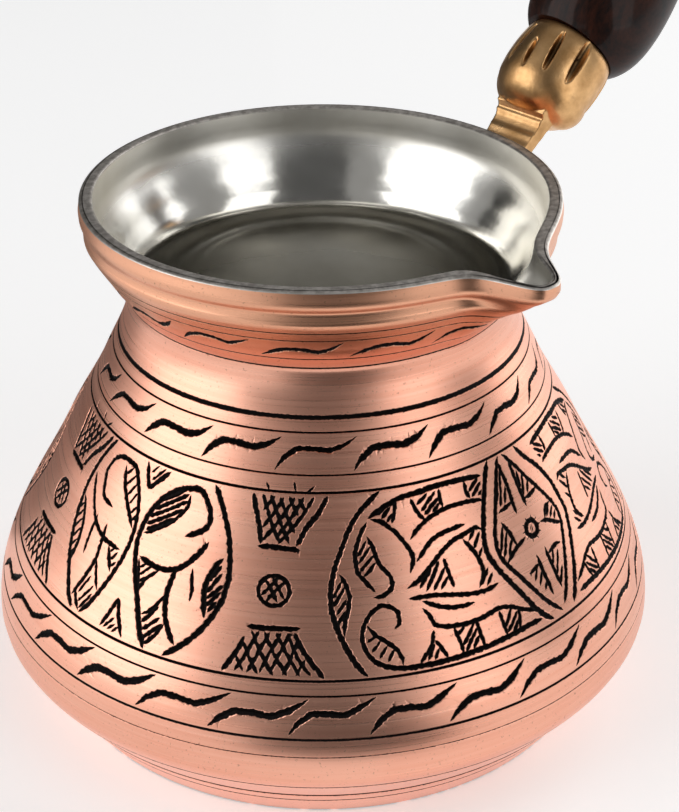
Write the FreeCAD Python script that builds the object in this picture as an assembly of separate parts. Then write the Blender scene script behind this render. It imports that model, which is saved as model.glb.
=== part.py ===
import FreeCAD, Part
import math
import os

# A small lidless copper coffee pot: a spun and engraved copper body with a beaten pouring lip,
# a wiped tin lining, a cast brass bracket riveted to the neck, and a turned wooden handle that a
# steel rod clamps between the bracket's cup and a brass end cap with a hanging ring.
# Millimetres and degrees. +Z is up, the origin is the centre of the underside, the handle points
# along +X and the pouring lip along -Y.

Vector = FreeCAD.Vector

# --- copper body -----------------------------------------------------------------------------
overall_height = 78.0        # table to rim
foot_radius = 41.0           # underside
foot_height = 6.2            # short turned-in foot
foot_top_radius = 45.4
belly_radius = 50.0          # widest ring, low down
belly_height = 13.2
shoulder_radius = 38.4       # half way up the long sloping side
shoulder_height = 40.6
upper_side_radius = 32.3     # where the side starts to hollow into the neck
upper_side_drop = 26.3       # below the rim
waist_radius = 28.0          # narrowest ring
waist_drop = 14.8            # below the rim
flare_radius = 30.9
flare_drop = 9.7
rim_radius = 33.9
lip_depth = 4.2              # near-upright lip under the rim
lip_taper = 0.2              # how much narrower the lip is at its root
copper_wall = 1.6
tin_thickness = 0.3          # wiped tin over the whole inside and the rim's edge

# --- pouring lip -------------------------------------------------------------------------------
spout_azimuth = -90.0
spout_reach = 10.4           # how far the lip is beaten out at the rim
spout_half_angle = 6.7       # where the outside has fallen to half of its reach
spout_depth = 15.7           # how far down the neck the beaten channel runs
spout_fade = 1.6             # power of its fading down the neck
spout_shape = 3.0            # flatness of its nose
spout_edge = 1.0             # thickness of the copper at the stretched nose
spout_inner_half_angle = 6.1
tin_inner_half_angle = 5.8

# --- brass bracket -----------------------------------------------------------------------------
plate_width = 15.0
plate_height = 8.0
plate_thickness = 1.8
plate_corner = 3.0
plate_drop = 2.7             # from the neck's narrowest ring to the plate's lower edge
strap_width = 9.4
strap_thickness = 2.2
strap_rise = 41.0
strap_depth_share = 0.4      # how far the strap runs into the cup's closed end
cup_reach = 48.7             # from the pot's axis to the middle of the cup
cup_height = 5.2             # middle of the cup above the rim
cup_radius = 8.2
cup_below = 8.3              # from the cup's middle to its closed end
cup_above = 4.9              # from the cup's middle to its mouth
cup_mouth_radius = 7.7
cup_heel_curve = (0.72, 0.82)     # shares of the radius and of the depth below the middle
cup_side_curve = (0.97, 0.42)
cup_widest_rise = 0.3        # the widest ring is this far above the middle
cup_wall = 1.3
socket_depth = 5.6

# --- rivets ------------------------------------------------------------------------------------
rivet_radius = 1.4
rivet_head_radius = 2.3
rivet_head_height = 1.1
rivet_head_rounding = 0.8    # share of the head's height that is rounded off
rivet_head_sink = 0.6        # how deep a head starts before it is cut to sit on the plate
rivet_spacing = 9.0
rivet_margin = 3.2           # from the plate's lower edge to the rivets' middles

# --- wooden handle and its fittings --------------------------------------------------------------
handle_rise = 37.0
wood_length = 92.0           # from the cup's mouth to the end cap
wood_bulb_radius = 10.2
wood_bulb_place = 9.0
wood_start_step = 0.1        # the wood starts this much inside the cup's mouth edge
wood_bulb_entry = 0.2        # shares of the bulb's place: half way out to the bulb,
wood_bulb_exit = 2.3         # and half way in to the waist
wood_waist_radius = 6.6
wood_waist_place = 30.0
wood_grip_radius = 8.8
wood_grip_place = 70.0
wood_end_radius = 7.2
tenon_clearance = 0.1
tenon_end_gap = 0.3
rod_radius = 2.0
rod_clearance = 0.1
rod_thread_depth = 4.0
cap_radius = 7.2
cap_length = 6.0
cap_band = 1.6               # straight band below the cap's dome
cap_dome_curve = (0.78, 0.72)    # shares of the radius and of the length
cap_neck_radius = 2.4
cap_neck_length = 4.5
eye_radius = 3.7
eye_thickness = 3.0
eye_hole_radius = 1.6
ring_wire_radius = 1.1
ring_radius = 8.0            # to the middle of the wire

overshoot = 3.0              # how far cutting tools run past what they cut
section_count = 24           # section points on each side of the pouring lip
section_crowding = 1.8       # draws the section points together at the lip
section_rows = 5             # sections in the side, and again in the neck
section_clearance = 0.8      # least height between two sections
slope_step = 0.05            # height step for the slope of the profile
tool_size = 4.0 * belly_radius

waist_height = overall_height - waist_drop
cup_x = cup_reach
cup_z = overall_height + cup_height


def profile_stations():
    """Height and outside radius of the body's turned profile, from the foot to the rim."""
    return [
        (0.0, foot_radius),
        (foot_height, foot_top_radius),
        (belly_height, belly_radius),
        (shoulder_height, shoulder_radius),
        (overall_height - upper_side_drop, upper_side_radius),
        (waist_height, waist_radius),
        (overall_height - flare_drop, flare_radius),
        (overall_height - lip_depth, rim_radius - lip_taper),
        (overall_height, rim_radius),
    ]


def station_slopes(stations):
    """Radius per height at each station, level at the belly and at the waist."""
    chords = [(b[1] - a[1]) / (b[0] - a[0]) for a, b in zip(stations, stations[1:])]
    slopes = [chords[0]]
    for before, after in zip(chords, chords[1:]):
        level = before * after <= 0.0
        slopes.append(0.0 if level else 2.0 * before * after / (before + after))
    slopes.append(chords[-1])
    return slopes


def outside_radius(height):
    """Outside radius of the round body at a height: a cubic between each pair of stations."""
    stations = profile_stations()
    slopes = station_slopes(stations)
    if height >= overall_height:
        return stations[-1][1]
    index = max(i for i in range(len(stations) - 1) if stations[i][0] <= height)
    low, high = stations[index], stations[index + 1]
    span = high[0] - low[0]
    t = (height - low[0]) / span
    start = (1.0 + 2.0 * t) * (1.0 - t) ** 2 * low[1] + t * (1.0 - t) ** 2 * span * slopes[index]
    end = t * t * (3.0 - 2.0 * t) * high[1] + t * t * (t - 1.0) * span * slopes[index + 1]
    return start + end


def offset_radius(height, offset):
    """Radius of a surface at a distance from the round body's outside; inwards is negative."""
    low = max(0.0, height - slope_step)
    high = min(overall_height, height + slope_step)
    slope = (outside_radius(high) - outside_radius(low)) / (high - low) if high > low else 0.0
    return outside_radius(height) + offset * math.sqrt(1.0 + slope * slope)


def spout_fading(height):
    """Share of the pouring lip's reach at a height."""
    share = (height - (overall_height - spout_depth)) / spout_depth
    return min(max(share, 0.0), 1.0) ** spout_fade


def section_wire(height, offset, reach, half_angle):
    """Closed level section of the body: a circle with the pouring lip beaten out of it."""
    points = []
    parameters = []
    round_radius = offset_radius(min(height, overall_height), offset)
    lip = reach * spout_fading(height)
    for j in range(-section_count, section_count):
        share = j / section_count
        turn = 180.0 * math.copysign(abs(share) ** section_crowding, share)
        radius = round_radius + lip / (1.0 + abs(turn / half_angle) ** spout_shape)
        angle = math.radians(spout_azimuth + turn)
        points.append(Vector(radius * math.cos(angle), radius * math.sin(angle), height))
        parameters.append(turn / 360.0)
    parameters.append(0.5)
    curve = Part.BSplineCurve()
    curve.interpolate(Points=points, PeriodicFlag=True, Parameters=parameters)
    return Part.Wire([curve.toShape()])


def section_heights(bottom, top):
    """Heights of the sections between two levels: closer together in the foot and the neck."""
    neck = overall_height - spout_depth
    marks = [0.0, foot_height / 2.0, foot_height, (foot_height + belly_height) / 2.0, belly_height]
    shares = [(row + 1.0) / section_rows for row in range(section_rows)]
    marks += [belly_height + (neck - belly_height) * share for share in shares]
    marks += [neck + spout_depth * share for share in shares]
    inside = [mark for mark in marks if section_clearance < mark - bottom]
    inside = [mark for mark in inside if section_clearance < top - mark]
    return [bottom] + inside + [top]


def body_solid(bottom, top, offset, reach, half_angle):
    """Solid between two levels, bounded by a surface at an offset from the body's outside."""
    wires = []
    for height in section_heights(bottom, top):
        wires.append(section_wire(height, offset, reach, half_angle))
    return Part.makeLoft(wires, True, False)


def outside_solid():
    return body_solid(0.0, overall_height, 0.0, spout_reach, spout_half_angle)


def hollow_solid(bottom, depth, half_angle):
    """The room inside a wall of the given thickness, open through the rim."""
    nose = rim_radius + spout_reach - spout_edge - (depth - copper_wall)
    reach = nose - offset_radius(overall_height, -depth)
    inside = body_solid(bottom, overall_height, -depth, reach, half_angle)
    mouth_face = max(inside.Faces, key=lambda face: face.CenterOfMass.z)
    return inside.fuse(mouth_face.extrude(Vector(0.0, 0.0, overshoot))).removeSplitter()


def rivet_places():
    """Middles of the two rivets on the bracket's plate."""
    height = plate_bottom() + rivet_margin
    return [Vector(0.0, side * rivet_spacing / 2.0, height) for side in (-1.0, 1.0)]


def plate_bottom():
    return waist_height - plate_drop


def rivet_shanks():
    """Straight shanks that run from inside the pot to outside the plate."""
    reach = waist_radius + plate_thickness + overshoot
    start = waist_radius / 2.0
    shanks = []
    for place in rivet_places():
        base = Vector(start, place.y, place.z)
        shanks.append(Part.makeCylinder(rivet_radius, reach - start, base, Vector(1.0, 0.0, 0.0)))
    return shanks


def make_copper_body(outside, copper_hollow):
    """Copper wall and floor, stopping below the tin that covers the rim's edge."""
    body = outside.cut(copper_hollow)
    body = body.cut(rim_slab())
    return body.cut(Part.makeCompound(rivet_shanks()))


def rim_slab():
    """Block over the level where the copper ends and the tin on the rim begins."""
    corner = Vector(-tool_size / 2.0, -tool_size / 2.0, overall_height - tin_thickness)
    return Part.makeBox(tool_size, tool_size, tin_thickness + 2.0 * overshoot, corner)


def make_tin_lining(outside, copper_hollow, tin_hollow):
    """Tin skin over the floor, the wall and the flat edge of the rim."""
    rim_edge = outside.common(rim_slab())
    filled = copper_hollow.common(outside).fuse(rim_edge)
    return filled.cut(tin_hollow).removeSplitter()


def handle_placement(rise):
    """Turns a piece made along +Z so that it points up the handle from the cup's middle."""
    turn = FreeCAD.Rotation(Vector(0.0, 1.0, 0.0), 90.0 - rise)
    return FreeCAD.Placement(Vector(cup_x, 0.0, cup_z), turn)


def turned(outline):
    """Solid turned about Z from edges that start and end on the axis or close on themselves."""
    wire = Part.Wire(outline)
    return Part.Face(wire).revolve(Vector(0.0, 0.0, 0.0), Vector(0.0, 0.0, 1.0), 360.0)


def at(radius, height):
    """Point of a turned piece's outline."""
    return Vector(radius, 0.0, height)


def line_chain(points):
    """Straight edges through a list of points."""
    return [Part.LineSegment(a, b).toShape() for a, b in zip(points, points[1:])]


def smooth_edge(points):
    """One smooth edge through a list of points."""
    curve = Part.BSplineCurve()
    curve.interpolate(points)
    return curve.toShape()


def make_cup():
    """Round brass cup with a socket for the wood and a threaded hole for the rod."""
    socket_radius = cup_mouth_radius - cup_wall
    socket_bottom = cup_above - socket_depth
    thread_bottom = socket_bottom - rod_thread_depth
    outline = [smooth_edge([
        at(0.0, -cup_below),
        at(cup_radius * cup_heel_curve[0], -cup_below * cup_heel_curve[1]),
        at(cup_radius * cup_side_curve[0], -cup_below * cup_side_curve[1]),
        at(cup_radius, cup_widest_rise),
        at(cup_mouth_radius, cup_above),
    ])]
    outline += line_chain([
        at(cup_mouth_radius, cup_above),
        at(socket_radius, cup_above),
        at(socket_radius, socket_bottom),
        at(rod_radius, socket_bottom),
        at(rod_radius, thread_bottom),
        at(0.0, thread_bottom),
        at(0.0, -cup_below),
    ])
    cup = turned(outline)
    cup.Placement = handle_placement(handle_rise)
    return cup


def make_strap():
    """Flat bar from the plate on the neck up into the closed end of the cup."""
    run = (cup_reach - waist_radius) / math.cos(math.radians(strap_rise))
    length = run - cup_below * (1.0 - strap_depth_share)
    corner = Vector(-strap_thickness / 2.0, -strap_width / 2.0, -run)
    strap = Part.makeBox(strap_thickness, strap_width, length, corner)
    strap.Placement = handle_placement(strap_rise)
    return strap


def make_plate():
    """Plate that hugs the neck, with rounded corners, cut from a thicker skin of the body."""
    skin = body_solid(0.0, overall_height, plate_thickness, spout_reach, spout_half_angle)
    corner = Vector(waist_radius / 2.0, -plate_width / 2.0, plate_bottom())
    block = Part.makeBox(belly_radius, plate_width, plate_height, corner)
    long_edges = [edge for edge in block.Edges if abs(edge.Length - belly_radius) < 1e-6]
    return skin.common(block.makeFillet(plate_corner, long_edges))


def make_handle_bracket(outside):
    """One brass casting: plate, strap and cup."""
    cup = make_cup()
    strap = make_strap().cut(socket_tool())
    casting = make_plate().fuse([strap, cup]).cut(outside)
    casting = casting.cut(Part.makeCompound(rivet_shanks()))
    return casting.removeSplitter()


def socket_tool():
    """Room of the socket, so that the strap's end stays out of it."""
    depth = socket_depth + rod_thread_depth
    tool = Part.makeCylinder(cup_mouth_radius - cup_wall, depth, at(0.0, cup_above - depth))
    tool.Placement = handle_placement(handle_rise)
    return tool


def make_rivet(shank, place, outside, copper_hollow, bracket):
    """Shank flush with the copper inside, and a domed head that sits on the plate."""
    face = offset_radius(place.z, plate_thickness)
    head_start = math.sqrt(face * face - place.y * place.y) - rivet_head_sink
    height = rivet_head_height + rivet_head_sink
    base = Vector(head_start, place.y, place.z)
    head = Part.makeCylinder(rivet_head_radius, height, base, Vector(1.0, 0.0, 0.0))
    rim = [edge for edge in head.Edges if abs(edge.CenterOfMass.x - head_start - height) < 1e-6]
    head = head.makeFillet(rivet_head_height * rivet_head_rounding, rim)
    shank_length = head_start + rivet_head_sink - shank.BoundBox.XMin
    start = Vector(shank.BoundBox.XMin, place.y, place.z)
    cut_shank = Part.makeCylinder(rivet_radius, shank_length, start, Vector(1.0, 0.0, 0.0))
    head = head.cut(bracket).cut(outside)
    return cut_shank.cut(copper_hollow).fuse(head).removeSplitter()


def make_bracket_rivets(outside, copper_hollow, bracket):
    """Two rivets, one on each side of the strap's root."""
    rivets = []
    for shank, place in zip(rivet_shanks(), rivet_places()):
        rivets.append(make_rivet(shank, place, outside, copper_hollow, bracket))
    return Part.makeCompound(rivets)


def wood_start():
    return cup_above


def wood_end():
    return cup_above + wood_length


def make_wood_handle():
    """Turned handle: tenon in the cup, round bulb, slim waist, swelling grip."""
    tenon_radius = cup_mouth_radius - cup_wall - tenon_clearance
    tenon_bottom = wood_start() - socket_depth + tenon_end_gap
    bore = rod_radius + rod_clearance
    start = wood_start()
    start_radius = cup_mouth_radius - wood_start_step
    outside = smooth_edge([
        at(start_radius, start),
        at((cup_mouth_radius + wood_bulb_radius) / 2.0, start + wood_bulb_place * wood_bulb_entry),
        at(wood_bulb_radius, start + wood_bulb_place),
        at((wood_bulb_radius + wood_waist_radius) / 2.0, start + wood_bulb_place * wood_bulb_exit),
        at(wood_waist_radius, start + wood_waist_place),
        at(wood_grip_radius, start + wood_grip_place),
        at(wood_end_radius, wood_end()),
    ])
    outline = [outside]
    outline += line_chain([
        at(wood_end_radius, wood_end()),
        at(bore, wood_end()),
        at(bore, tenon_bottom),
        at(tenon_radius, tenon_bottom),
        at(tenon_radius, start),
        at(start_radius, start),
    ])
    wood = turned(outline)
    wood.Placement = handle_placement(handle_rise)
    return wood


def make_handle_rod():
    """Steel rod, threaded into the cup at one end and into the end cap at the other."""
    bottom = cup_above - socket_depth - rod_thread_depth
    top = wood_end() + rod_thread_depth
    rod = Part.makeCylinder(rod_radius, top - bottom, at(0.0, bottom))
    rod.Placement = handle_placement(handle_rise)
    return rod


def eye_middle():
    """Distance from the cup's middle to the hole in the end cap's eye."""
    return wood_end() + cap_length + cap_neck_length + eye_hole_radius


def make_end_cap():
    """Domed brass cap with a flat drilled eye."""
    base = wood_end()
    outline = line_chain([at(0.0, base + rod_thread_depth), at(rod_radius, base + rod_thread_depth),
                          at(rod_radius, base), at(cap_radius, base),
                          at(cap_radius, base + cap_band)])
    outline.append(smooth_edge([
        at(cap_radius, base + cap_band),
        at(cap_radius * cap_dome_curve[0], base + cap_length * cap_dome_curve[1]),
        at(cap_neck_radius, base + cap_length),
    ]))
    neck_top = base + cap_length + cap_neck_length
    outline += line_chain([at(cap_neck_radius, base + cap_length), at(cap_neck_radius, neck_top),
                           at(0.0, neck_top), at(0.0, base + rod_thread_depth)])
    cap = turned(outline)
    across = Vector(0.0, 1.0, 0.0)
    start = Vector(0.0, -eye_thickness / 2.0, eye_middle())
    eye = Part.makeCylinder(eye_radius, eye_thickness, start, across)
    tool_start = Vector(0.0, -eye_radius - overshoot, eye_middle())
    hole = Part.makeCylinder(eye_hole_radius, 2.0 * (eye_radius + overshoot), tool_start, across)
    cap = cap.fuse(eye).cut(hole).removeSplitter()
    cap.Placement = handle_placement(handle_rise)
    return cap


def eye_position():
    """The ring's pivot: the middle of the eye's hole."""
    rise = math.radians(handle_rise)
    distance = eye_middle()
    return Vector(cup_x + distance * math.cos(rise), 0.0, cup_z + distance * math.sin(rise))


def make_hang_ring():
    """Closed wire ring that hangs straight down from the eye."""
    pivot = eye_position()
    middle = Vector(pivot.x, 0.0, pivot.z - ring_radius)
    return Part.makeTorus(ring_radius, ring_wire_radius, middle, Vector(1.0, 0.0, 0.0))


def make_pieces():
    """Every piece of the pot, by name."""
    outside = outside_solid()
    copper_hollow = hollow_solid(copper_wall, copper_wall, spout_inner_half_angle)
    full_wall = copper_wall + tin_thickness
    tin_hollow = hollow_solid(full_wall, full_wall, tin_inner_half_angle)
    bracket = make_handle_bracket(outside)
    return {
        "copper_body": make_copper_body(outside, copper_hollow),
        "tin_lining": make_tin_lining(outside, copper_hollow, tin_hollow),
        "handle_bracket": bracket,
        "bracket_rivets": make_bracket_rivets(outside, copper_hollow, bracket),
        "handle_rod": make_handle_rod(),
        "wood_handle": make_wood_handle(),
        "end_cap": make_end_cap(),
        "hang_ring": make_hang_ring(),
    }


os.makedirs("parts", exist_ok=True)
for name, shape in make_pieces().items():
    shape.exportStep("parts/" + name + ".step")
    box = shape.BoundBox
    low = (round(box.XMin, 1), round(box.YMin, 1), round(box.ZMin, 1))
    high = (round(box.XMax, 1), round(box.YMax, 1), round(box.ZMax, 1))
    print(name, "solids", len(shape.Solids), "volume", round(shape.Volume, 1), low, high)
print("ring pivot", eye_position())
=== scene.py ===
import math

import bmesh
import bpy
import numpy as np
from mathutils import Matrix, Vector
from mathutils.geometry import delaunay_2d_cdt


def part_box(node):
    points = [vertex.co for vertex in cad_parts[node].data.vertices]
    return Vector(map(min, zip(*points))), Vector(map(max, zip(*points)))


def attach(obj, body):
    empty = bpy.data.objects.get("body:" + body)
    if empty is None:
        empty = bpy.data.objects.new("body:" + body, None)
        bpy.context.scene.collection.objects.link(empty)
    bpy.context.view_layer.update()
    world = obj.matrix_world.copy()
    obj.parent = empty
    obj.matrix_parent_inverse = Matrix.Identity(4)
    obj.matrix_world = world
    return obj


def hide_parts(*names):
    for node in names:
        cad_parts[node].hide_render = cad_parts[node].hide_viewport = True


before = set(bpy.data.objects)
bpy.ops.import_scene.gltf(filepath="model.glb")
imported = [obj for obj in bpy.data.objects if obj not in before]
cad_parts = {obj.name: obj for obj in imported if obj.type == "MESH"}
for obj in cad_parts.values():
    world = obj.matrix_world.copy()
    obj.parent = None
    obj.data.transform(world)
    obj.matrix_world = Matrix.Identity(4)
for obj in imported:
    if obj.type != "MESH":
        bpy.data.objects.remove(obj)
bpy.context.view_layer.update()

# An engraved copper coffee pot. Shapes are worked out in millimetres and made in metres.
# +Z is up, the handle points along +X and the pouring lip along -Y.

MM = 0.001
rng = np.random.default_rng(11)

# --- turned profile of the body, as the fixed frame has it --------------------------------
RIM_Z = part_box("tin_lining")[1][2] / MM
COPPER_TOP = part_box("copper_body")[1][2] / MM
STATIONS = (
    (0.0, 41.0), (6.2, 45.4), (13.2, 50.0), (40.6, 38.4), (RIM_Z - 26.3, 32.3),
    (RIM_Z - 14.8, 28.0), (RIM_Z - 9.7, 30.9), (RIM_Z - 4.2, 33.7), (RIM_Z, 33.9),
)
LIP_RELIEF = (
    # height, how far it stands out, spread: the bead under the rim, the cove, a faint swell
    (RIM_Z - 1.9, 0.28, 1.1), (RIM_Z - 3.6, -0.38, 0.8), (RIM_Z - 5.2, 0.1, 0.6),
)
COPPER_WALL = 1.6
TIN = 0.3
FLOOR_TOP = COPPER_WALL + TIN

SPOUT_AZIMUTH = -90.0
SPOUT_REACH = 10.1
SPOUT_DEPTH = 15.7
SPOUT_FALL = (
    # below the rim, share of the reach
    (0.0, 1.0), (0.5, 1.0), (1.5, 0.99), (2.5, 0.93), (3.5, 0.82), (4.6, 0.65), (6.0, 0.46),
    (8.0, 0.28), (10.0, 0.15), (12.5, 0.05), (SPOUT_DEPTH, 0.0),
)
SPOUT_NEAR_NOSE = 3.6        # how square the lip is on its steep side
SPOUT_FAR_NOSE = 2.3         # and on its easy side, next to the handle
OUTSIDE = {"offset": 0.0, "reach": SPOUT_REACH, "near": 5.7, "far": 8.3}
COPPER_INSIDE = {"offset": -COPPER_WALL, "reach": 10.7, "near": 4.9, "far": 7.8}
TIN_INSIDE = {"offset": -(COPPER_WALL + TIN), "reach": 10.7, "near": 4.6, "far": 7.5}

# --- places of the engraving round the pot, in degrees, and its levels, in millimetres ----
SEAM = -215.5
STAR_CENTRES = (-85.0, 95.5)
LEAF_CENTRES = (-172.5, 2.5)
COLUMN_CENTRES = (-202.0, -142.0, -28.0, 33.0)
ENGRAVED_LINES = (
    # height, width, depth
    (71.5, 0.24, 0.10), (70.0, 0.24, 0.10), (66.0, 0.26, 0.12), (64.1, 0.32, 0.14),
    (55.6, 0.3, 0.13), (50.45, 0.28, 0.13), (48.4, 0.4, 0.18), (26.35, 0.42, 0.18),
    (24.5, 0.3, 0.15), (18.85, 0.42, 0.16), (16.35, 0.2, 0.05), (10.5, 0.4, 0.08),
    (6.2, 0.6, 0.2), (4.1, 0.4, 0.1),
)
CHATTER_LINE = (57.4, 0.62, 0.2)    # the one line with trembling edges
CHATTER = 0.16               # how far its edges tremble
GRAVER_SLOPE = 0.75          # depth of a cut per half width
DEEPEST_CUT = 0.36
DARK_WIDTH = 0.1             # half width from which a cut is fully dark at its bottom
DARK_LINE = 0.14             # depth from which a turned line is fully dark
BREADTH = 1.55               # all cuts are this much wider than their drawn line
TAPER = 0.7                  # how blunt the two ends of a cut are
HAND_SWAY = 0.03             # how far the hand strays from the drawn line
SLOPE_STEP = 0.05            # half the step that a profile's slope is measured over
NORMAL_STEP = 0.03           # the same for the direction the surface faces
SKIN_STRETCH = (0.72, 1.15)  # the unrolled skin is meshed at about its true proportions
LIP_SAMPLES = 158            # points on the eased fall of the pouring lip
EASING = 13                  # how many of them each is eased over
NECK_LEVEL = 50.0            # rows inside the pot are close above this level
BOTTOM_LEVEL = 18.0          # and again below this one


# --- the body's surface -------------------------------------------------------------------

def station_slopes():
    chords = [(b[1] - a[1]) / (b[0] - a[0]) for a, b in zip(STATIONS, STATIONS[1:])]
    slopes = [chords[0]]
    for before, after in zip(chords, chords[1:]):
        slopes.append(0.0 if before * after <= 0.0 else 2.0 * before * after / (before + after))
    return slopes + [chords[-1]]


HEIGHTS = np.array([station[0] for station in STATIONS])
RADII = np.array([station[1] for station in STATIONS])
SLOPES = np.array(station_slopes())


def turned_radius(z):
    """Radius of the plain turned shape at each height, in millimetres."""
    z = np.clip(np.asarray(z, float), 0.0, RIM_Z)
    i = np.clip(np.searchsorted(HEIGHTS, z, side="right") - 1, 0, len(HEIGHTS) - 2)
    span = HEIGHTS[i + 1] - HEIGHTS[i]
    t = (z - HEIGHTS[i]) / span
    low = (1 + 2 * t) * (1 - t) ** 2 * RADII[i] + t * (1 - t) ** 2 * span * SLOPES[i]
    high = t * t * (3 - 2 * t) * RADII[i + 1] + t * t * (t - 1) * span * SLOPES[i + 1]
    return low + high


def round_radius(z):
    """Outside radius of the body at each height, with the bead and the cove of its lip."""
    z = np.clip(np.asarray(z, float), 0.0, RIM_Z)
    relief = sum(rise * np.exp(-((z - height) / spread) ** 2) for height, rise, spread in LIP_RELIEF)
    return turned_radius(z) + relief


def profile_slope(z, profile=round_radius):
    return (profile(z + SLOPE_STEP) - profile(z - SLOPE_STEP)) / (2 * SLOPE_STEP)


def spout_share(drop):
    """Share of the pouring lip's reach at a distance below the rim, as a smooth curve."""
    drop = np.asarray(drop, float)
    table = np.array(SPOUT_FALL)
    fine = np.linspace(0.0, SPOUT_DEPTH, LIP_SAMPLES)
    rough = np.interp(fine, table[:, 0], table[:, 1])
    padded = np.pad(rough, (EASING - 3) // 2, mode="edge")
    weights = np.hanning(EASING)
    eased = np.convolve(padded, weights[1:-1] / weights.sum(), mode="valid")
    return np.interp(drop, fine, eased)


def surface_radius(theta, z, offset, reach, near, far):
    """Radius of the body at an angle (degrees) and height, with the pouring lip beaten out."""
    profile = turned_radius if offset < 0.0 else round_radius
    base = profile(z) + offset * np.sqrt(1 + profile_slope(z, profile) ** 2)
    share = spout_share(RIM_Z - z)
    turn = (theta - SPOUT_AZIMUTH + 180.0) % 360.0 - 180.0
    across = np.where(turn < 0.0, (np.abs(turn) / near) ** SPOUT_NEAR_NOSE,
                      (np.abs(turn) / far) ** SPOUT_FAR_NOSE)
    return base + reach * share / (1 + across)


def surface_points(theta, z, layer):
    """Points of a layer of the wall, in metres, as an array."""
    theta = np.asarray(theta, float)
    z = np.asarray(z, float)
    radius = surface_radius(theta, z, **layer)
    angle = np.radians(theta)
    return np.stack([radius * np.cos(angle), radius * np.sin(angle), z + 0 * radius], -1) * MM


def surface_normals(theta, z, layer):
    """Directions the layer faces, outwards from the wall."""
    step = NORMAL_STEP
    round_way = surface_points(theta + step, z, layer) - surface_points(theta - step, z, layer)
    upwards = surface_points(theta, z + step, layer) - surface_points(theta, z - step, layer)
    normal = np.cross(round_way, upwards)
    return normal / np.linalg.norm(normal, axis=-1, keepdims=True)


def inner_levels():
    """Heights of the mesh rows inside the wall, the same for the copper and the tin."""
    return np.concatenate([np.arange(COPPER_TOP, NECK_LEVEL, -1.1),
                           np.arange(NECK_LEVEL, BOTTOM_LEVEL, -3.2),
                           np.arange(BOTTOM_LEVEL, FLOOR_TOP + 3.0, -1.4)])


def round_angles(fine=True):
    """Angles of the mesh columns once round from the seam, closer together at the pouring lip."""
    angles = list(np.arange(0.0, 360.0, 1.5))
    if fine:
        lip = (SPOUT_AZIMUTH - SEAM) % 360.0
        angles += [lip + turn for turn in np.arange(-24.0, 24.01, 0.5)]
    return np.array(sorted({round(angle, 3) for angle in angles})) + SEAM


# --- drawing with the graver --------------------------------------------------------------

def metric(z):
    """Millimetres per degree round the body and per millimetre of height, at a height."""
    return math.radians(1.0) * float(round_radius(z)), math.sqrt(1 + float(profile_slope(z)) ** 2)


def smooth_path(points, step, angular=0.45):
    """A run through given points in even steps, partly curved and partly straight."""
    points = np.array(points, float)
    if len(points) > 2:
        ends = (2 * points[0] - points[1], 2 * points[-1] - points[-2])
        p = np.vstack([ends[0], points, ends[1]])
        t = np.linspace(0, 1, 9)[:-1, None]
        run = []
        for a, b, c, d in zip(p, p[1:], p[2:], p[3:]):
            curve = 0.5 * (2 * b + (c - a) * t + (2 * a - 5 * b + 4 * c - d) * t ** 2
                           + (3 * b - a - 3 * c + d) * t ** 3)
            run.append(curve + angular * (b + (c - b) * t - curve))
        points = np.vstack(run + [points[-1:]])
    kx, kz = metric(points[:, 1].mean())
    gaps = np.hypot(np.diff(points[:, 0]) * kx, np.diff(points[:, 1]) * kz)
    along = np.concatenate([[0], np.cumsum(gaps)])
    count = max(3, int(round(along[-1] / step)) + 1)
    marks = np.linspace(0, along[-1], count)
    return np.stack([np.interp(marks, along, points[:, k]) for k in (0, 1)], -1), marks


def graver_cut(points, width, ends=(1.2, 1.2), chatter=0.12, step=0.34, angular=0.45):
    """One cut: its middle line and its half width along the way."""
    width = width * BREADTH
    path, marks = smooth_path(points, step, angular)
    to_end = marks[-1] - marks
    taper = np.clip(marks / ends[0], 0, 1) ** TAPER * np.clip(to_end / ends[1], 0, 1) ** TAPER
    barb = 0.9 + 0.5 * rng.random()
    push = (marks / barb + rng.random()) % 1.0
    rough = 1 + chatter * (rng.random(len(marks)) - 0.55) + 0.34 * (push - 0.5)
    half = 0.5 * width * taper * rough
    half[0] = half[-1] = 0.0
    wobble = rng.normal(0, HAND_SWAY, (len(marks), 2))
    wobble[0] = wobble[-1] = 0.0
    kx, kz = metric(path[:, 1].mean())
    path = path + wobble / (kx, kz)
    return {"path": path, "half": half}


def moved(cut, centre, mirror=False):
    """The same drawn cut at a motif's place round the pot, turned over if asked."""
    path = cut["path"].copy()
    if mirror:
        path[:, 0] = -path[:, 0]
    path[:, 0] += centre
    return {"path": path, "half": cut["half"]}


def curves(width, *lines, ends=(1.2, 1.2)):
    return [graver_cut(line, width, ends) for line in lines]


def hatches(width, *lines):
    return [graver_cut(line, width, ends=(0.5, 0.7), chatter=0.3, step=0.45) for line in lines]


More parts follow.
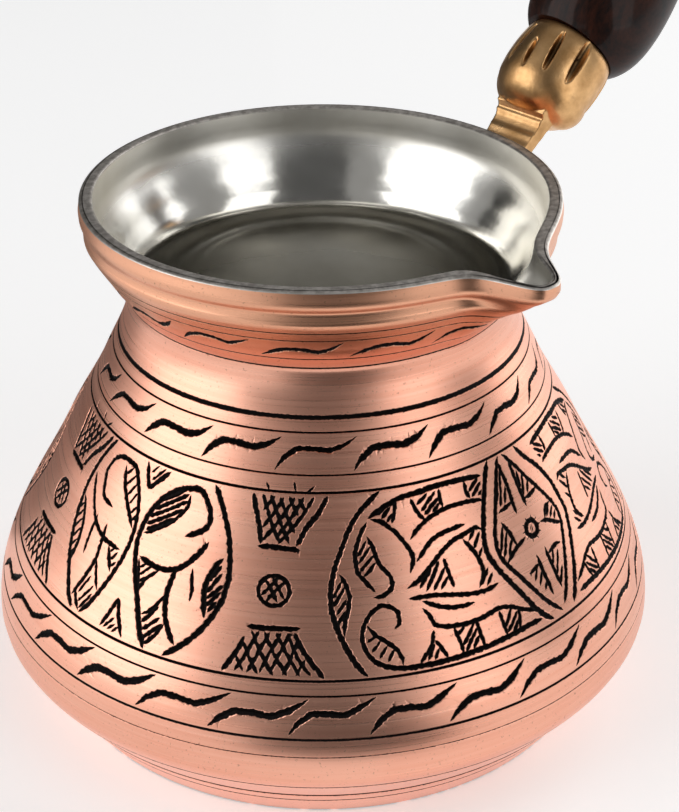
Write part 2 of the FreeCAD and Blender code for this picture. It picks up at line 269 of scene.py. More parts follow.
def leaf_motif():
    """Oval medallion with two looped leaves; degrees from its middle, and heights."""
    cuts = curves(
        0.62,
        [(-16.5, 48.2), (-18.5, 46.5), (-20, 44), (-20.7, 41), (-20.5, 38), (-19.5, 35.5),
         (-17.7, 33), (-15.5, 30.8), (-13, 28.3), (-10.8, 26.8)],
        [(15, 48.1), (16.5, 47), (18.5, 45), (20.2, 42.8), (21.2, 40), (21.5, 37.5),
         (20.9, 35), (19.5, 32.8), (17.5, 30.7), (15, 28.8), (13, 27.6), (11.2, 26.6)],
    )
    cuts += curves(
        0.5,
        [(-9.5, 40.7), (-12, 41), (-13.8, 41.4), (-15, 43), (-15.8, 44.3), (-15.3, 45.3),
         (-14.5, 46.3), (-12.5, 46.8), (-10, 46.9), (-7, 46.6), (-5, 45.2), (-3.5, 43.8),
         (-2.3, 42), (-1.9, 40), (-2, 38), (-2.7, 35.5), (-4, 33), (-5.3, 30.8), (-7, 28.5),
         (-8.7, 26.9)],
        [(-10.3, 46.3), (-9.5, 45), (-8, 43.7), (-6, 42.3), (-4.3, 41), (-2.5, 39.6)],
        [(-19, 43.2), (-17.5, 41.3), (-15.8, 39.6), (-13.5, 38.1), (-11, 37.1), (-8.5, 36.7),
         (-5.5, 36.5), (-3.8, 36.5)],
        [(-7.2, 36.4), (-6, 35), (-4.5, 33.4)],
        [(-20, 39.8), (-18.5, 38.5), (-16.8, 36.5), (-16.1, 34.5), (-16.1, 32.5), (-16.3, 31.2)],
        [(-9.7, 38.6), (-9.5, 36.5), (-9.2, 34.2), (-9.7, 32.5), (-10.7, 30.5), (-12, 28.2)],
        [(-11.7, 29.3), (-10.3, 28), (-8.8, 27)],
        [(-2.8, 26.9), (-1.5, 29), (-0.4, 31), (0.7, 29.2), (2.6, 26.8)],
        [(-4.2, 48.1), (-2.9, 46.5), (-1.5, 45.2), (0, 46), (3.3, 48)],
    )
    cuts += curves(
        0.6,
        [(10.5, 41.2), (12.5, 41.8), (14.7, 42.6), (15.7, 43.6), (15.2, 45), (13.9, 46),
         (12.2, 47), (9.5, 46.9), (6.5, 46.3), (4, 45.3), (2, 43.8), (0.5, 42), (-0.2, 40),
         (-0.3, 38.5), (0.7, 36), (2.5, 33.5), (4, 31.5), (5.7, 28.8), (7.5, 26.6)],
        [(16.3, 41.4), (14.9, 40), (13, 38.5), (10.5, 37.1), (8, 36.6), (6, 36.5), (3.5, 36.7),
         (1.1, 37)],
        [(10.2, 37.5), (9.9, 35.8), (9.5, 34.5), (9.8, 32.5), (10.5, 31), (12, 29.3),
         (13.3, 28.2)],
        [(20, 39.8), (18.7, 38.8), (17.5, 37.3), (17, 35.8), (17.3, 34), (17.9, 32.3)],
    )
    cuts += curves(
        0.42,
        [(9.8, 46.2), (9.7, 44.7), (8.5, 43.5), (6.5, 42.2), (4, 41.1), (2, 40.2), (0.5, 39.8)],
        [(9.6, 34), (8.5, 32.8), (6.7, 31.2), (5.2, 30.5)],
        [(7.5, 27.3), (9.2, 28.8), (10.5, 30.5)],
        [(1.3, 36.8), (2.2, 35), (3.2, 33.2), (4.3, 34.8), (6.7, 36.3)],
        [(13.8, 37.8), (14, 36.5), (14.5, 35), (14.4, 33.7)],
        [(-13.3, 39), (-13.5, 36.5), (-13.4, 34.8), (-13.1, 33.4)],
        [(-9.2, 34.2), (-7.8, 32.5), (-6.5, 31), (-5.9, 30.6)],
    )
    cuts += hatches(
        0.34,
        [(-9.3, 45.2), (-7.5, 46.6)], [(-8.1, 44.1), (-6, 46)], [(-6.7, 43), (-5, 45)],
        [(-5.5, 42.2), (-3.8, 44)], [(-4.3, 41.2), (-2.7, 42.6)], [(-3.3, 40.4), (-2.3, 41.6)],
        [(-6.3, 35.6), (-5.2, 36.4)], [(-5.5, 34.8), (-4.1, 36.2)], [(-5, 34), (-3.7, 35)],
        [(-19.8, 36.4), (-18.1, 38.2)], [(-19.3, 35.2), (-17.3, 37.3)], [(-18.5, 34), (-16.8, 36)],
        [(-17.7, 33.1), (-16.5, 34.6)], [(-17, 32.2), (-16.2, 33.4)], [(-20.3, 37.6), (-18.9, 38.9)],
        [(-10.5, 29), (-8.6, 31.9)], [(-9.8, 28), (-7.1, 31)], [(-9.1, 27.3), (-6.8, 30)],
        [(-2.1, 27), (0.1, 28.8)], [(-1.1, 27), (0.7, 28.2)], [(0, 26.9), (1.5, 28)],
        [(-2.3, 46.9), (-0.3, 48.1)], [(-1.5, 46.1), (1.7, 48.1)], [(-0.7, 45.7), (2.7, 47.9)],
        [(1.9, 35.6), (3.7, 36.6)], [(2.3, 34.8), (5, 36.5)], [(2.8, 34), (4.2, 35)],
    )
    cuts += hatches(
        0.46,
        [(1, 42), (9.6, 45.4)], [(1.7, 43.1), (9.5, 46.2)], [(0.7, 41), (9, 44.3)],
        [(3, 44.4), (8, 46.4)], [(1, 40.3), (7.5, 43)],
        [(17.5, 35.3), (20.2, 38)], [(17.5, 34.5), (20.7, 36.6)], [(17.7, 33.7), (20.5, 35.8)],
        [(18.2, 33), (19.9, 34.6)], [(17.6, 36.6), (19.8, 38.9)],
        [(5.7, 29.6), (8.7, 32.2)], [(6.3, 28.8), (9.5, 31)], [(6.7, 27.9), (10.2, 30.4)],
        [(7.2, 27.2), (9.7, 29)],
    )
    return cuts


def column_motif():
    """Two cross-hatched trapezoids and a crossed ring between them."""
    cuts = curves(
        0.58,
        [(-4, 41.9), (0, 41.95), (5, 41.7)],
        [(-6.1, 48), (-5, 46), (-3.8, 44), (-3.3, 42.1)],
        [(10.8, 48.1), (8.5, 46), (6, 44.3), (4, 42.1)],
        [(-4.5, 32.3), (0, 32.35), (5.5, 32.5)],
        [(-4.6, 31.2), (-5.5, 29.5), (-8, 26.6)],
        [(4.2, 32.1), (6, 29.8), (9.6, 26.6)],
        ends=(0.8, 0.8),
    )
    cuts += hatches(
        0.44,
        [(-4, 48), (-2, 45.5), (0.7, 42.3)], [(-2.2, 48), (0.5, 44.9), (2.7, 42.3)],
        [(0, 47.8), (2.2, 45.2), (3.8, 43.6)], [(2, 48), (4.4, 45.6)], [(4, 47.8), (6, 46)],
        [(7.8, 48), (5, 45.6), (0.2, 42.3)], [(5.5, 48), (2.5, 45.2), (-0.3, 42.9)],
        [(3.5, 47.9), (0.4, 45.2), (-3, 42.5)], [(1, 47.8), (-1.4, 45.6), (-3.4, 44)],
        [(-1, 47.9), (-3.6, 46)],
        [(-3.5, 32), (-1.4, 29.3), (1, 26.8)], [(-1.2, 32), (1.1, 29.2), (3.4, 26.8)],
        [(1, 32), (3, 29.6), (5.5, 26.9)], [(3, 32), (5, 29), (7.4, 26.9)],
        [(-4.8, 30.5), (-3.2, 28.5), (-1.6, 26.8)], [(-5.8, 28.8), (-4.2, 26.9)],
        [(-2, 32), (-4.2, 28.8), (-5.9, 26.8)], [(0, 32), (-2.2, 28.9), (-3.7, 26.8)],
        [(2, 32), (0, 29.3), (-1.5, 26.9)], [(3.6, 32), (1.8, 29.4), (0.2, 26.9)],
        [(5, 31), (3.8, 29), (2.5, 26.9)], [(6.4, 29), (4.7, 26.9)],
        [(-1.6, 38), (1, 35.3)], [(-0.4, 38.3), (2.3, 35.7)],
        [(2.2, 38), (-1.5, 35.3)], [(0.8, 38.3), (-2.4, 36)],
    )
    cuts += hatches(0.28, [(-3.5, 49.5), (-2.3, 48.2)], [(2.8, 49.8), (3.8, 48.2)],
                    [(8, 49.3), (5.5, 48.1)])
    cuts += cut_ring(0.1, 36.75, 3.1, 1.85, 0.5)
    return cuts


def cut_ring(x, z, half_width, half_height, width, sides=12):
    """Ring cut in short straight pushes that overrun each other a little."""
    cuts = []
    for k in range(sides):
        a, b = (math.tau * (k + turn) / sides for turn in (-0.25, 1.2))
        out = 1.06
        start = (x + half_width * math.cos(a), z + half_height * math.sin(a))
        end = (x + out * half_width * math.cos(b), z + out * half_height * math.sin(b))
        cuts.append(graver_cut([start, end], width, ends=(0.3, 0.4), step=0.4))
    return cuts


def star_frame():
    """Double-lined hexagon with hatched rays and a spiked flower in the middle."""
    cuts = curves(
        0.62,
        [(-6, 48.3), (-8, 46.6), (-10.5, 44), (-12.5, 41), (-13.3, 38.2), (-12, 35.8),
         (-9.5, 33), (-7, 30), (-5, 28), (-3, 26.7)],
        [(3.2, 48.2), (6, 46), (8.7, 44), (10.7, 41.5), (11.5, 39), (11.7, 37), (10, 34.5),
         (7.5, 31.5), (5, 28.8), (3, 27)],
    )
    cuts += curves(
        0.52,
        [(-2.5, 48.2), (-4.5, 46.5), (-7, 44), (-8.8, 41.8), (-10.2, 39.5), (-10.6, 37.6),
         (-9.8, 35.9), (-7.5, 33.7), (-5, 31), (-2.7, 28.8), (-0.2, 27)],
        [(-1.3, 48.2), (1, 46.4), (3.5, 44), (6, 41.7), (8.2, 39.5), (9, 38), (8.7, 36.3),
         (7, 34.3), (5, 32), (2.7, 29.5), (0.5, 27.6)],
        [(-3.3, 47.8), (-3, 44.5), (-3.2, 42), (-3.1, 40.6)],
        [(-8, 41.8), (-5.5, 42.1), (-3.2, 42.4)],
        [(-7.9, 40.8), (-6.5, 39), (-5.6, 37)],
        [(-9.3, 35.7), (-6, 36.9), (-2.7, 37.6)],
        [(-5.2, 33.3), (-3.5, 33.5), (-1.4, 33.8)],
        [(-1.7, 35), (-1.6, 33), (-1.3, 30.5), (-1.2, 29.4)],
        [(0.1, 47.2), (0, 44.5), (0.1, 42.5), (0.4, 40.8)],
        [(0.2, 41.8), (3, 42), (5.2, 42.3)],
        [(2.4, 38.2), (4.7, 37.8), (8.7, 36.2)],
        [(4, 38), (5.7, 39.3), (7.7, 39.6)],
        [(1.1, 35.3), (1.2, 33), (1.5, 29.5)],
        [(1.2, 34.2), (4.3, 34.6), (6, 34.4)],
    )
    cuts += hatches(
        0.38,
        [(-6.8, 42.4), (-3.5, 46.5)], [(-5.5, 42.4), (-3.6, 44.6)], [(-7.5, 43), (-4, 47)],
        [(-9.9, 37.2), (-7.8, 40.3)], [(-9.6, 36.4), (-7, 39.5)], [(-8.5, 36.3), (-6.3, 38.3)],
        [(-5, 32.8), (-4.3, 33.6)], [(-4.4, 32), (-2.6, 33.6)], [(-3.6, 31.2), (-1.8, 33)],
        [(-2.8, 30.4), (-1.6, 31.6)],
        [(0.4, 43.2), (1.3, 45.6)], [(0.5, 42.2), (2.6, 44.9)], [(1.8, 42.2), (3.6, 43.8)],
        [(4.8, 38.1), (7, 39.4)], [(5.7, 37.7), (8, 39)], [(6.8, 37.2), (8.4, 38.3)],
        [(1.4, 32.6), (3.2, 34.4)], [(1.5, 31.2), (4.4, 34)], [(1.6, 30.1), (3.8, 32)],
    )
    cuts += cut_ring(-0.4, 38.1, 1.75, 1.05, 0.62, sides=10)
    for k in range(10):
        x, z = math.cos(math.tau * k / 10), math.sin(math.tau * k / 10)
        cuts += hatches(0.3, [(-0.4 + 1.9 * x, 38.1 + 1.1 * z), (-0.4 + 3.0 * x, 38.1 + 1.75 * z)])
    cuts += hatches(0.2, [(-1.1, 37.9), (0, 38.7)], [(-0.9, 37.6), (0.2, 38.3)])
    return cuts


def star_wing():
    """Left wing of the star medallion: crescent, two scrolls and fern-like ribs with wedges."""
    cuts = curves(
        0.58,
        [(-34.5, 48.2), (-37, 47.2), (-40, 45.8), (-42.3, 43.8), (-44, 41.5), (-45.5, 39),
         (-46.2, 36.5), (-45.8, 34), (-44.7, 31.8), (-43.3, 29.8), (-41.8, 28), (-40, 26.6)],
        [(-38, 45.1), (-34.5, 46.2), (-30.5, 47), (-26, 47.3), (-21, 47.5), (-16, 47.4),
         (-11.5, 47.1), (-9, 46.9)],
        [(-40, 28.9), (-37, 27.7), (-34, 27.15), (-29, 27.05), (-23, 27.15), (-17, 27.35),
         (-11, 27.6), (-7.5, 27.7), (-5.5, 27.6)],
    )
    cuts += curves(
        0.5,
        [(-44.6, 39), (-43.3, 37.8), (-42.6, 36.3), (-42.8, 35), (-43.6, 33), (-43.8, 31.5)],
        [(-29.5, 42), (-27, 43.3), (-24, 44.2), (-20, 44.7), (-16, 44.7), (-12, 44.4),
         (-10.5, 44.1)],
        [(-28.8, 39.2), (-27.5, 40), (-25, 41.4), (-22, 42), (-19, 42.2), (-16.5, 42.2)],
        [(-31.5, 36.3), (-29, 37), (-26, 38.4), (-23, 39.8), (-20, 40.8), (-17, 41.1),
         (-14.5, 41.4), (-12.8, 40.8)],
        [(-18, 40.6), (-16, 38.6), (-15, 36.5), (-15.5, 35.3), (-17, 34.2)],
        [(-31.5, 35.1), (-27, 35), (-23, 34.5), (-19.5, 34), (-16, 33.7), (-12.5, 34)],
        [(-29, 34.6), (-26, 33.6), (-22.5, 32.9), (-18.5, 32.8)],
        [(-29.2, 33.8), (-28, 32.8), (-27.2, 31.5), (-25, 31), (-21, 30.7), (-17.5, 30.8),
         (-14, 31.2), (-11, 30.6), (-8.5, 29.6), (-6, 28.8)],
        [(-37.5, 45.1), (-35, 44.6), (-32.5, 43.3), (-30.5, 41.7), (-29.3, 40), (-30, 38.5),
         (-30.4, 38)],
        [(-38, 44.9), (-39.8, 43.3), (-41, 41.3), (-40.8, 39), (-39, 37.5), (-37.5, 36.4)],
        [(-38.5, 43.2), (-37.3, 41.8), (-36.8, 40.3), (-35.8, 39.2), (-34.3, 38), (-34.2, 36.8),
         (-36, 35.9), (-38.3, 35.8)],
        [(-34.8, 31.8), (-33.7, 32.6), (-33.8, 33.8), (-35, 34.5), (-36.7, 34.8), (-38.5, 34.2),
         (-40, 33), (-40.7, 31.5), (-40.3, 29.8), (-39, 28.5), (-37, 27.8)],
        [(-39.8, 32.7), (-38.2, 31.4), (-36.3, 30.5), (-34.8, 29.5), (-34, 28.3), (-33.9, 27.4)],
    )
    cuts += curves(
        0.44,
        [(-31.2, 46.8), (-32, 45.3), (-32.8, 44.2)],
        [(-27.8, 46.8), (-26.8, 45), (-25.4, 43.9)], [(-20.7, 47.1), (-20.9, 45.6), (-20.6, 44.9)],
        [(-13.9, 47), (-14.2, 45.8), (-13.6, 44.8)],
        [(-23, 39), (-22.5, 37), (-22, 35.2)],
        [(-31, 27.4), (-28.5, 29.2), (-27.6, 31)], [(-27.7, 29.8), (-25.8, 27.4)],
        [(-23.8, 30.7), (-23.2, 29), (-22.8, 27.4)], [(-19.3, 30.8), (-19, 29.2), (-18.7, 27.5)],
        [(-14.2, 30.9), (-14, 29), (-13.8, 27.7)], [(-10, 30.3), (-10.4, 29), (-11, 27.8)],
        ends=(0.5, 0.5),
    )
    cuts += hatches(
        0.42,
        [(-35, 44.9), (-32.4, 46.3)], [(-34, 44.4), (-32.2, 45.5)], [(-36, 45.4), (-33.5, 46.4)],
        [(-26.8, 45.8), (-23.5, 47)], [(-26, 45), (-21.5, 47)], [(-25.4, 44.5), (-21.2, 46.2)],
        [(-23.5, 44.6), (-21, 45.6)],
        [(-13.7, 45.6), (-10, 46.9)], [(-13.3, 44.9), (-9.6, 46.3)], [(-11.6, 44.8), (-9.9, 45.4)],
        [(-29, 36), (-25.8, 38.2)], [(-27.8, 35.5), (-24, 38.8)], [(-26.3, 35.4), (-23, 38)],
        [(-24.8, 35.3), (-22.8, 36.8)],
        [(-16.8, 40), (-14.6, 41.2)], [(-16, 38.9), (-13.6, 40.8)], [(-15.4, 37.6), (-13.8, 38.9)],
        [(-16.5, 34.4), (-13.8, 36.3)], [(-15.3, 34.1), (-13.2, 35.5)],
        [(-29.5, 27.5), (-27.8, 29.4)], [(-28.3, 27.4), (-27.2, 28.8)],
        [(-22.8, 28.2), (-19.6, 30.6)], [(-22.5, 27.4), (-19.3, 30)], [(-21, 27.5), (-19.2, 29)],
        [(-23.4, 29.6), (-21.6, 30.6)],
        [(-13.8, 28.6), (-11.3, 30.8)], [(-13.6, 27.9), (-10.4, 30)], [(-12.3, 27.8), (-10.7, 29)],
        [(-45.6, 35), (-43.3, 37.5)], [(-45.2, 34), (-43, 36)], [(-44.8, 33), (-43.4, 34.6)],
        [(-45.7, 36), (-43.8, 38.1)],
        [(-40.6, 40.8), (-38.3, 42.8)], [(-40.6, 39.9), (-37.7, 42)], [(-40.3, 39), (-37.2, 40.9)],
        [(-39.7, 38.3), (-36.9, 40)],
        [(-40, 30.6), (-38, 31.5)], [(-39.3, 29.4), (-37.4, 30.8)], [(-38, 28.6), (-36.2, 30.2)],
        [(-36.6, 28.1), (-35.2, 29.6)],
    )
    return cuts


def wave_band(first, pitch, last, middle, shape, width, lead):
    """Run of lazy S cuts round the pot: each rises over a hump and dips before its tip."""
    cuts = []
    for start in np.arange(first, last, pitch):
        sway = rng.normal(0, 0.22)
        stretch = 1 + rng.normal(0, 0.035)
        points = [(start + x * stretch, middle + z + (sway if 0 < k < len(shape) - 1 else 0))
                  for k, (x, z) in enumerate(shape)]
        thick = width * rng.uniform(0.85, 1.15)
        cuts.append(graver_cut(points, thick, ends=(2.6, 3.2), angular=0.85))
    room = first - SEAM - 2.0
    squeezed = [(SEAM + 1.0 + x * (room + lead) / shape[-1][0], middle + z) for x, z in shape]
    cuts.append(graver_cut(squeezed, width, ends=(2.2, 2.6), angular=0.85))
    return cuts


def all_cuts():
    """Every cut of the engraving, in its place round the pot."""
    cuts = []
    frame_cuts = star_frame()
    wing = star_wing()
    leaf = leaf_motif()
    column = column_motif()
    for centre in STAR_CENTRES:
        cuts += [moved(cut, centre) for cut in frame_cuts]
        cuts += [moved(cut, centre) for cut in wing]
        cuts += [moved(cut, centre, mirror=True) for cut in wing]
    for centre in LEAF_CENTRES:
        cuts += [moved(cut, centre) for cut in leaf]
    for centre in COLUMN_CENTRES:
        cuts += [moved(cut, centre) for cut in column]
    cuts += wave_band(-200.0, 18.7, 125.0, 53.1,
                      [(0, -2.3), (2.2, -0.9), (5, 0.25), (9, 0.3), (13, 0.05), (16.5, 0.6),
                       (20, 1.9)], 0.62, 2.0)
    cuts += wave_band(-203.6, 13.05, 128.0, 21.8,
                      [(0, -2.5), (1.8, -1.1), (4.2, 0.1), (7, 0.15), (10, -0.1), (12.6, 0.7),
                       (16, 2.4)], 0.72, 3.0)
    cuts += wave_band(-193.0, 22.5, 121.0, 68.1,
                      [(0, -1.6), (3.5, -0.4), (7, 0.3), (11, 0.25), (15, -0.3), (18, 0.4),
                       (21, 1.5)], 0.6, 1.0)
    return cuts


# --- engraved skin ------------------------------------------------------------------------

def cut_depths(theta, z, cuts):
    """Depth below the surface, and share of the way into a cut, at every point."""
    depth = np.zeros(len(theta))
    share = np.zeros(len(theta))
    for cut in cuts:
        path, half = cut["path"], cut["half"]
        reach = half.max() + 0.1
        kx, kz = metric(path[:, 1].mean())
        near = np.flatnonzero(
            (theta > path[:, 0].min() - reach / kx) & (theta < path[:, 0].max() + reach / kx)
            & (z > path[:, 1].min() - reach / kz) & (z < path[:, 1].max() + reach / kz))
        if not len(near):
            continue
        ax, az = path[:-1, 0] * kx, path[:-1, 1] * kz
        bx, bz = path[1:, 0] * kx, path[1:, 1] * kz
        px, pz = theta[near, None] * kx, z[near, None] * kz
        along = np.clip(((px - ax) * (bx - ax) + (pz - az) * (bz - az))
                        / ((bx - ax) ** 2 + (bz - az) ** 2 + 1e-12), 0, 1)
        gap = np.hypot(px - ax - along * (bx - ax), pz - az - along * (bz - az))
        width = half[:-1] + along * (half[1:] - half[:-1])
        inside = np.clip(1 - gap / np.maximum(width, 1e-6), 0, 1)
        deep = (inside * width * GRAVER_SLOPE).max(1)
        depth[near] = np.maximum(depth[near], np.minimum(deep, DEEPEST_CUT))
        dark = (inside * np.clip(width / DARK_WIDTH, 0, 1)).max(1)
        share[near] = np.maximum(share[near], dark)
    return depth, share


def line_depths(theta, z):
    """The same for the turned lines that run right round the body."""
    depth = np.zeros(len(theta))
    share = np.zeros(len(theta))
    for height, width, deep in ENGRAVED_LINES + (CHATTER_LINE,):
        inside = np.clip(1 - np.abs(z - height) / (0.5 * width), 0, 1)
        depth = np.maximum(depth, inside * deep)
        share = np.maximum(share, inside * min(1.0, deep / DARK_LINE))
    return depth, share


def skin_outline(cuts, columns):
    """Points and edges that the skin's triangles must follow: cut edges, bottoms and lines."""
    points = []
    edges = []

    def chain(new_points, closed=False):
        start = len(points)
        points.extend(new_points)
        edges.extend((start + k, start + k + 1) for k in range(len(new_points) - 1))
        if closed:
            edges.append((start + len(new_points) - 1, start))

    for cut in cuts:
        path, half = cut["path"], cut["half"]
        kx, kz = metric(path[:, 1].mean())
        flow = np.gradient(path, axis=0) * (kx, kz)
        flow /= np.linalg.norm(flow, axis=1, keepdims=True) + 1e-12
        side = np.stack([-flow[:, 1] / kx, flow[:, 0] / kz], -1) * half[:, None]
        chain([tuple(p) for p in np.vstack([path + side, (path - side)[-2:0:-1]])], closed=True)
        chain([tuple(p) for p in path])
    coarse = round_angles(fine=False)
    for height, width, _ in ENGRAVED_LINES:
        row = columns if height > 60.0 else coarse
        for z in (height - 0.5 * width, height, height + 0.5 * width):
            chain([(angle, z) for angle in row] + [(SEAM + 360.0, z)])
    height, width, _ = CHATTER_LINE
    rattle = np.arange(0.0, 360.01, 0.75) + SEAM
    for side in (-0.5, 0.0, 0.5):
        wave = CHATTER * side * rng.random(len(rattle))
        wave[0] = wave[-1] = 0.0
        chain([(angle, height + side * width + shake) for angle, shake in zip(rattle, wave)])
    chain([(angle, 0.0) for angle in columns] + [(SEAM + 360.0, 0.0)])
    chain([(angle, COPPER_TOP) for angle in columns] + [(SEAM + 360.0, COPPER_TOP)])
    levels = seam_levels()
    for side in (SEAM, SEAM + 360.0):
        chain([(side, z) for z in levels])
    return points, edges


def seam_levels():
    """Heights of the mesh rows between the foot and the rim."""
    return np.concatenate([np.arange(0.0, 4.0, 0.6), np.arange(4.0, 54.0, 1.15),
                           np.arange(54.0, COPPER_TOP - 0.4, 0.75), [COPPER_TOP]])


def field_points(cuts, columns):
    """Plain grid points of the skin, left out where a cut or a line runs."""
    coarse = round_angles(fine=False)
    theta, z = [], []
    for k, level in enumerate(seam_levels()[1:-1]):
        row = columns if level > RIM_Z - SPOUT_DEPTH - 1.0 else coarse
        shift = 0.0 if k % 2 else 0.25
        theta.append(row[1:] + shift)
        z.append(np.full(len(row) - 1, level))
    theta, z = np.concatenate(theta), np.concatenate(z)
    wide = [{"path": cut["path"], "half": cut["half"] + 0.22} for cut in cuts]
    _, share = cut_depths(theta, z, wide)
    clear = share <= 0.0
    for height, width, _ in ENGRAVED_LINES + (CHATTER_LINE,):
        clear &= np.abs(z - height) > 0.5 * width + 0.2
    clear &= theta < SEAM + 359.6
    return list(zip(theta[clear], z[clear]))


def skin_triangles(cuts, columns):
    """The unrolled skin as triangles that follow every cut."""
    points, edges = skin_outline(cuts, columns)
    points += field_points(cuts, columns)
    kx, kz = SKIN_STRETCH
    flat = [Vector((x * kx, z * kz)) for x, z in points]
    verts, _, faces, _, _, _ = delaunay_2d_cdt(flat, edges, [], 0, 1e-4, False)
    verts = np.array([tuple(v) for v in verts])
    return verts[:, 0] / kx, verts[:, 1] / kz, faces


def make_copper_body():
    """Closed copper wall: engraved outside, plain inside, turned underside."""
    columns = round_angles()
    cuts = all_cuts()
    theta, z, faces = skin_triangles(cuts, columns)
    depth, share = cut_depths(theta, z, cuts)
    line_depth, line_share = line_depths(theta, z)
    depth, share = np.maximum(depth, line_depth), np.maximum(share, line_share)
    points = surface_points(theta, z, OUTSIDE)
    points -= surface_normals(theta, z, OUTSIDE) * depth[:, None] * MM
    verts = [tuple(p) for p in points]
    shares = list(share)
    polygons = [tuple(face) for face in faces]
    levels = list(inner_levels()) + [COPPER_WALL]
    start = len(verts)
    count = len(columns)
    for level in levels:
        ring = surface_points(columns, np.full(count, level), COPPER_INSIDE)
        verts += [tuple(p) for p in ring]
    shares += [0.0] * (len(verts) - len(shares))
    polygons += ring_faces(start, len(levels), count)
    last = start + (len(levels) - 1) * count
    verts.append((0.0, 0.0, COPPER_WALL * MM))
    shares.append(0.0)
    polygons += [(last + k, last + (k + 1) % count, len(verts) - 1) for k in range(count)]
    body = mesh_object("engraved_copper_body", "copper_wall", verts, polygons)
    sunk = np.full(len(verts), -1.0)
    sunk[:len(depth)] = depth
    note_points(body, "cut", shares)
    note_points(body, "sunk", sunk)
    select_only(body)
    bpy.ops.object.mode_set(mode="EDIT")
    bpy.ops.mesh.select_all(action="SELECT")
    bpy.ops.mesh.remove_doubles(threshold=2e-6)
    bpy.ops.object.mode_set(mode="OBJECT")
    close_rim_and_foot(body)
    face_outwards(body)
    smooth(body, 24.0)
    true_normals(body)
    return body


def true_normals(body):
    """Shades the plain skin by the turned surface's own normals and each cut by its facets."""
    mesh = body.data
    count = len(mesh.vertices)
    points = np.empty(count * 3)
    mesh.vertices.foreach_get("co", points)
    points = points.reshape(-1, 3) / MM
    sunk = np.empty(count, dtype=np.float32)
    mesh.attributes["sunk"].data.foreach_get("value", sunk)
    theta = np.degrees(np.arctan2(points[:, 1], points[:, 0]))
    surface = surface_normals(theta, np.clip(points[:, 2], 0.05, RIM_Z - 0.05), OUTSIDE)
    corners = np.empty(len(mesh.loops) * 3)
    mesh.corner_normals.foreach_get("vector", corners)
    corners = corners.reshape(-1, 3)
    owner = np.empty(len(mesh.loops), dtype=np.int32)
    mesh.loops.foreach_get("vertex_index", owner)
    for face in mesh.polygons:
        run = slice(face.loop_start, face.loop_start + face.loop_total)
        deep = sunk[owner[run]]
        if deep.min() < -0.5:
            continue
        corners[run] = surface[owner[run]] if deep.max() < 0.01 else face.normal
    mesh.normals_split_custom_set([tuple(normal) for normal in corners])
    mesh.attributes.remove(mesh.attributes["sunk"])


FOOT_STEPS = (
    # share of the foot's radius, lift above the ground in millimetres
    (0.975, 0.0), (0.95, 0.35), (0.55, 0.35), (0.54, 0.5), (0.12, 0.5),
)


def close_rim_and_foot(body):
    """Bridges the two edges of the rim and fills the underside with turned steps."""
    select_only(body)
    bpy.ops.object.mode_set(mode="EDIT")
    bm = bmesh.from_edit_mesh(body.data)
    for piece in (bm.verts, bm.edges, bm.faces):
        for part in piece:
            part.select = False
    top = COPPER_TOP * MM
    for edge in bm.edges:
        level = all(abs(vert.co.z - top) < 1e-7 for vert in edge.verts)
        edge.select = level and edge.is_boundary
    bmesh.update_edit_mesh(body.data)
    bpy.ops.mesh.bridge_edge_loops()
    bpy.ops.mesh.select_all(action="DESELECT")
    bm = bmesh.from_edit_mesh(body.data)
    for edge in bm.edges:
        edge.select = edge.is_boundary and all(vert.co.z < 1e-7 for vert in edge.verts)
    bm.select_flush_mode()
    bmesh.update_edit_mesh(body.data)
    first = round_radius(0.0) * MM
    for scale, lift in FOOT_STEPS:
        bpy.ops.mesh.extrude_region_move()
        bm = bmesh.from_edit_mesh(body.data)
        for vert in bm.verts:
            if vert.select:
                angle = math.atan2(vert.co.y, vert.co.x)
                vert.co = (first * scale * math.cos(angle), first * scale * math.sin(angle), lift * MM)
        bmesh.update_edit_mesh(body.data)
    bpy.ops.mesh.edge_collapse()
    bpy.ops.object.mode_set(mode="OBJECT")


# --- helpers for pieces shaped by hand ----------------------------------------------------

def select_only(*objects):
    bpy.ops.object.select_all(action="DESELECT")
    for item in objects:
        item.select_set(True)
    bpy.context.view_layer.objects.active = objects[0]


def mesh_object(name, mesh_name, verts, faces):
    """New piece from points in metres and faces."""
    mesh = bpy.data.meshes.new(mesh_name)
    mesh.from_pydata(verts, [], faces)
    piece = bpy.data.objects.new(name, mesh)
    bpy.context.collection.objects.link(piece)
    return piece


def note_points(piece, name, values):
    """Keeps a value for every point of the mesh under a name."""
    mark = piece.data.attributes.new(name, "FLOAT", "POINT")
    mark.data.foreach_set("value", np.array(values, dtype=np.float32))


def ring_faces(start, rings, count):
    """Four-sided faces that join rings of points, the first of which begins at start."""
    faces = []
    for row in range(rings - 1):
        for k in range(count):
            a, b = start + row * count + k, start + row * count + (k + 1) % count
            faces.append((a, b, b + count, a + count))
    return faces


def face_outwards(piece):
    select_only(piece)
    bpy.ops.object.mode_set(mode="EDIT")
    bpy.ops.mesh.select_all(action="SELECT")
    bpy.ops.mesh.normals_make_consistent(inside=False)
    bpy.ops.object.mode_set(mode="OBJECT")


def settle(piece, name):
    """Puts the piece's place into its mesh and names it."""
    select_only(piece)
    bpy.ops.object.transform_apply(location=True, rotation=True, scale=True)
    piece.name = name
    piece.data.name = name
    return piece


def apply_modifier(piece, kind, **settings):
    select_only(piece)
    modifier = piece.modifiers.new(kind.lower(), kind)
    for key, value in settings.items():
        setattr(modifier, key, value)
    bpy.ops.object.modifier_apply(modifier=modifier.name)
    return piece


def smooth(piece, degrees):
    select_only(piece)
    bpy.ops.object.shade_smooth_by_angle(angle=math.radians(degrees))


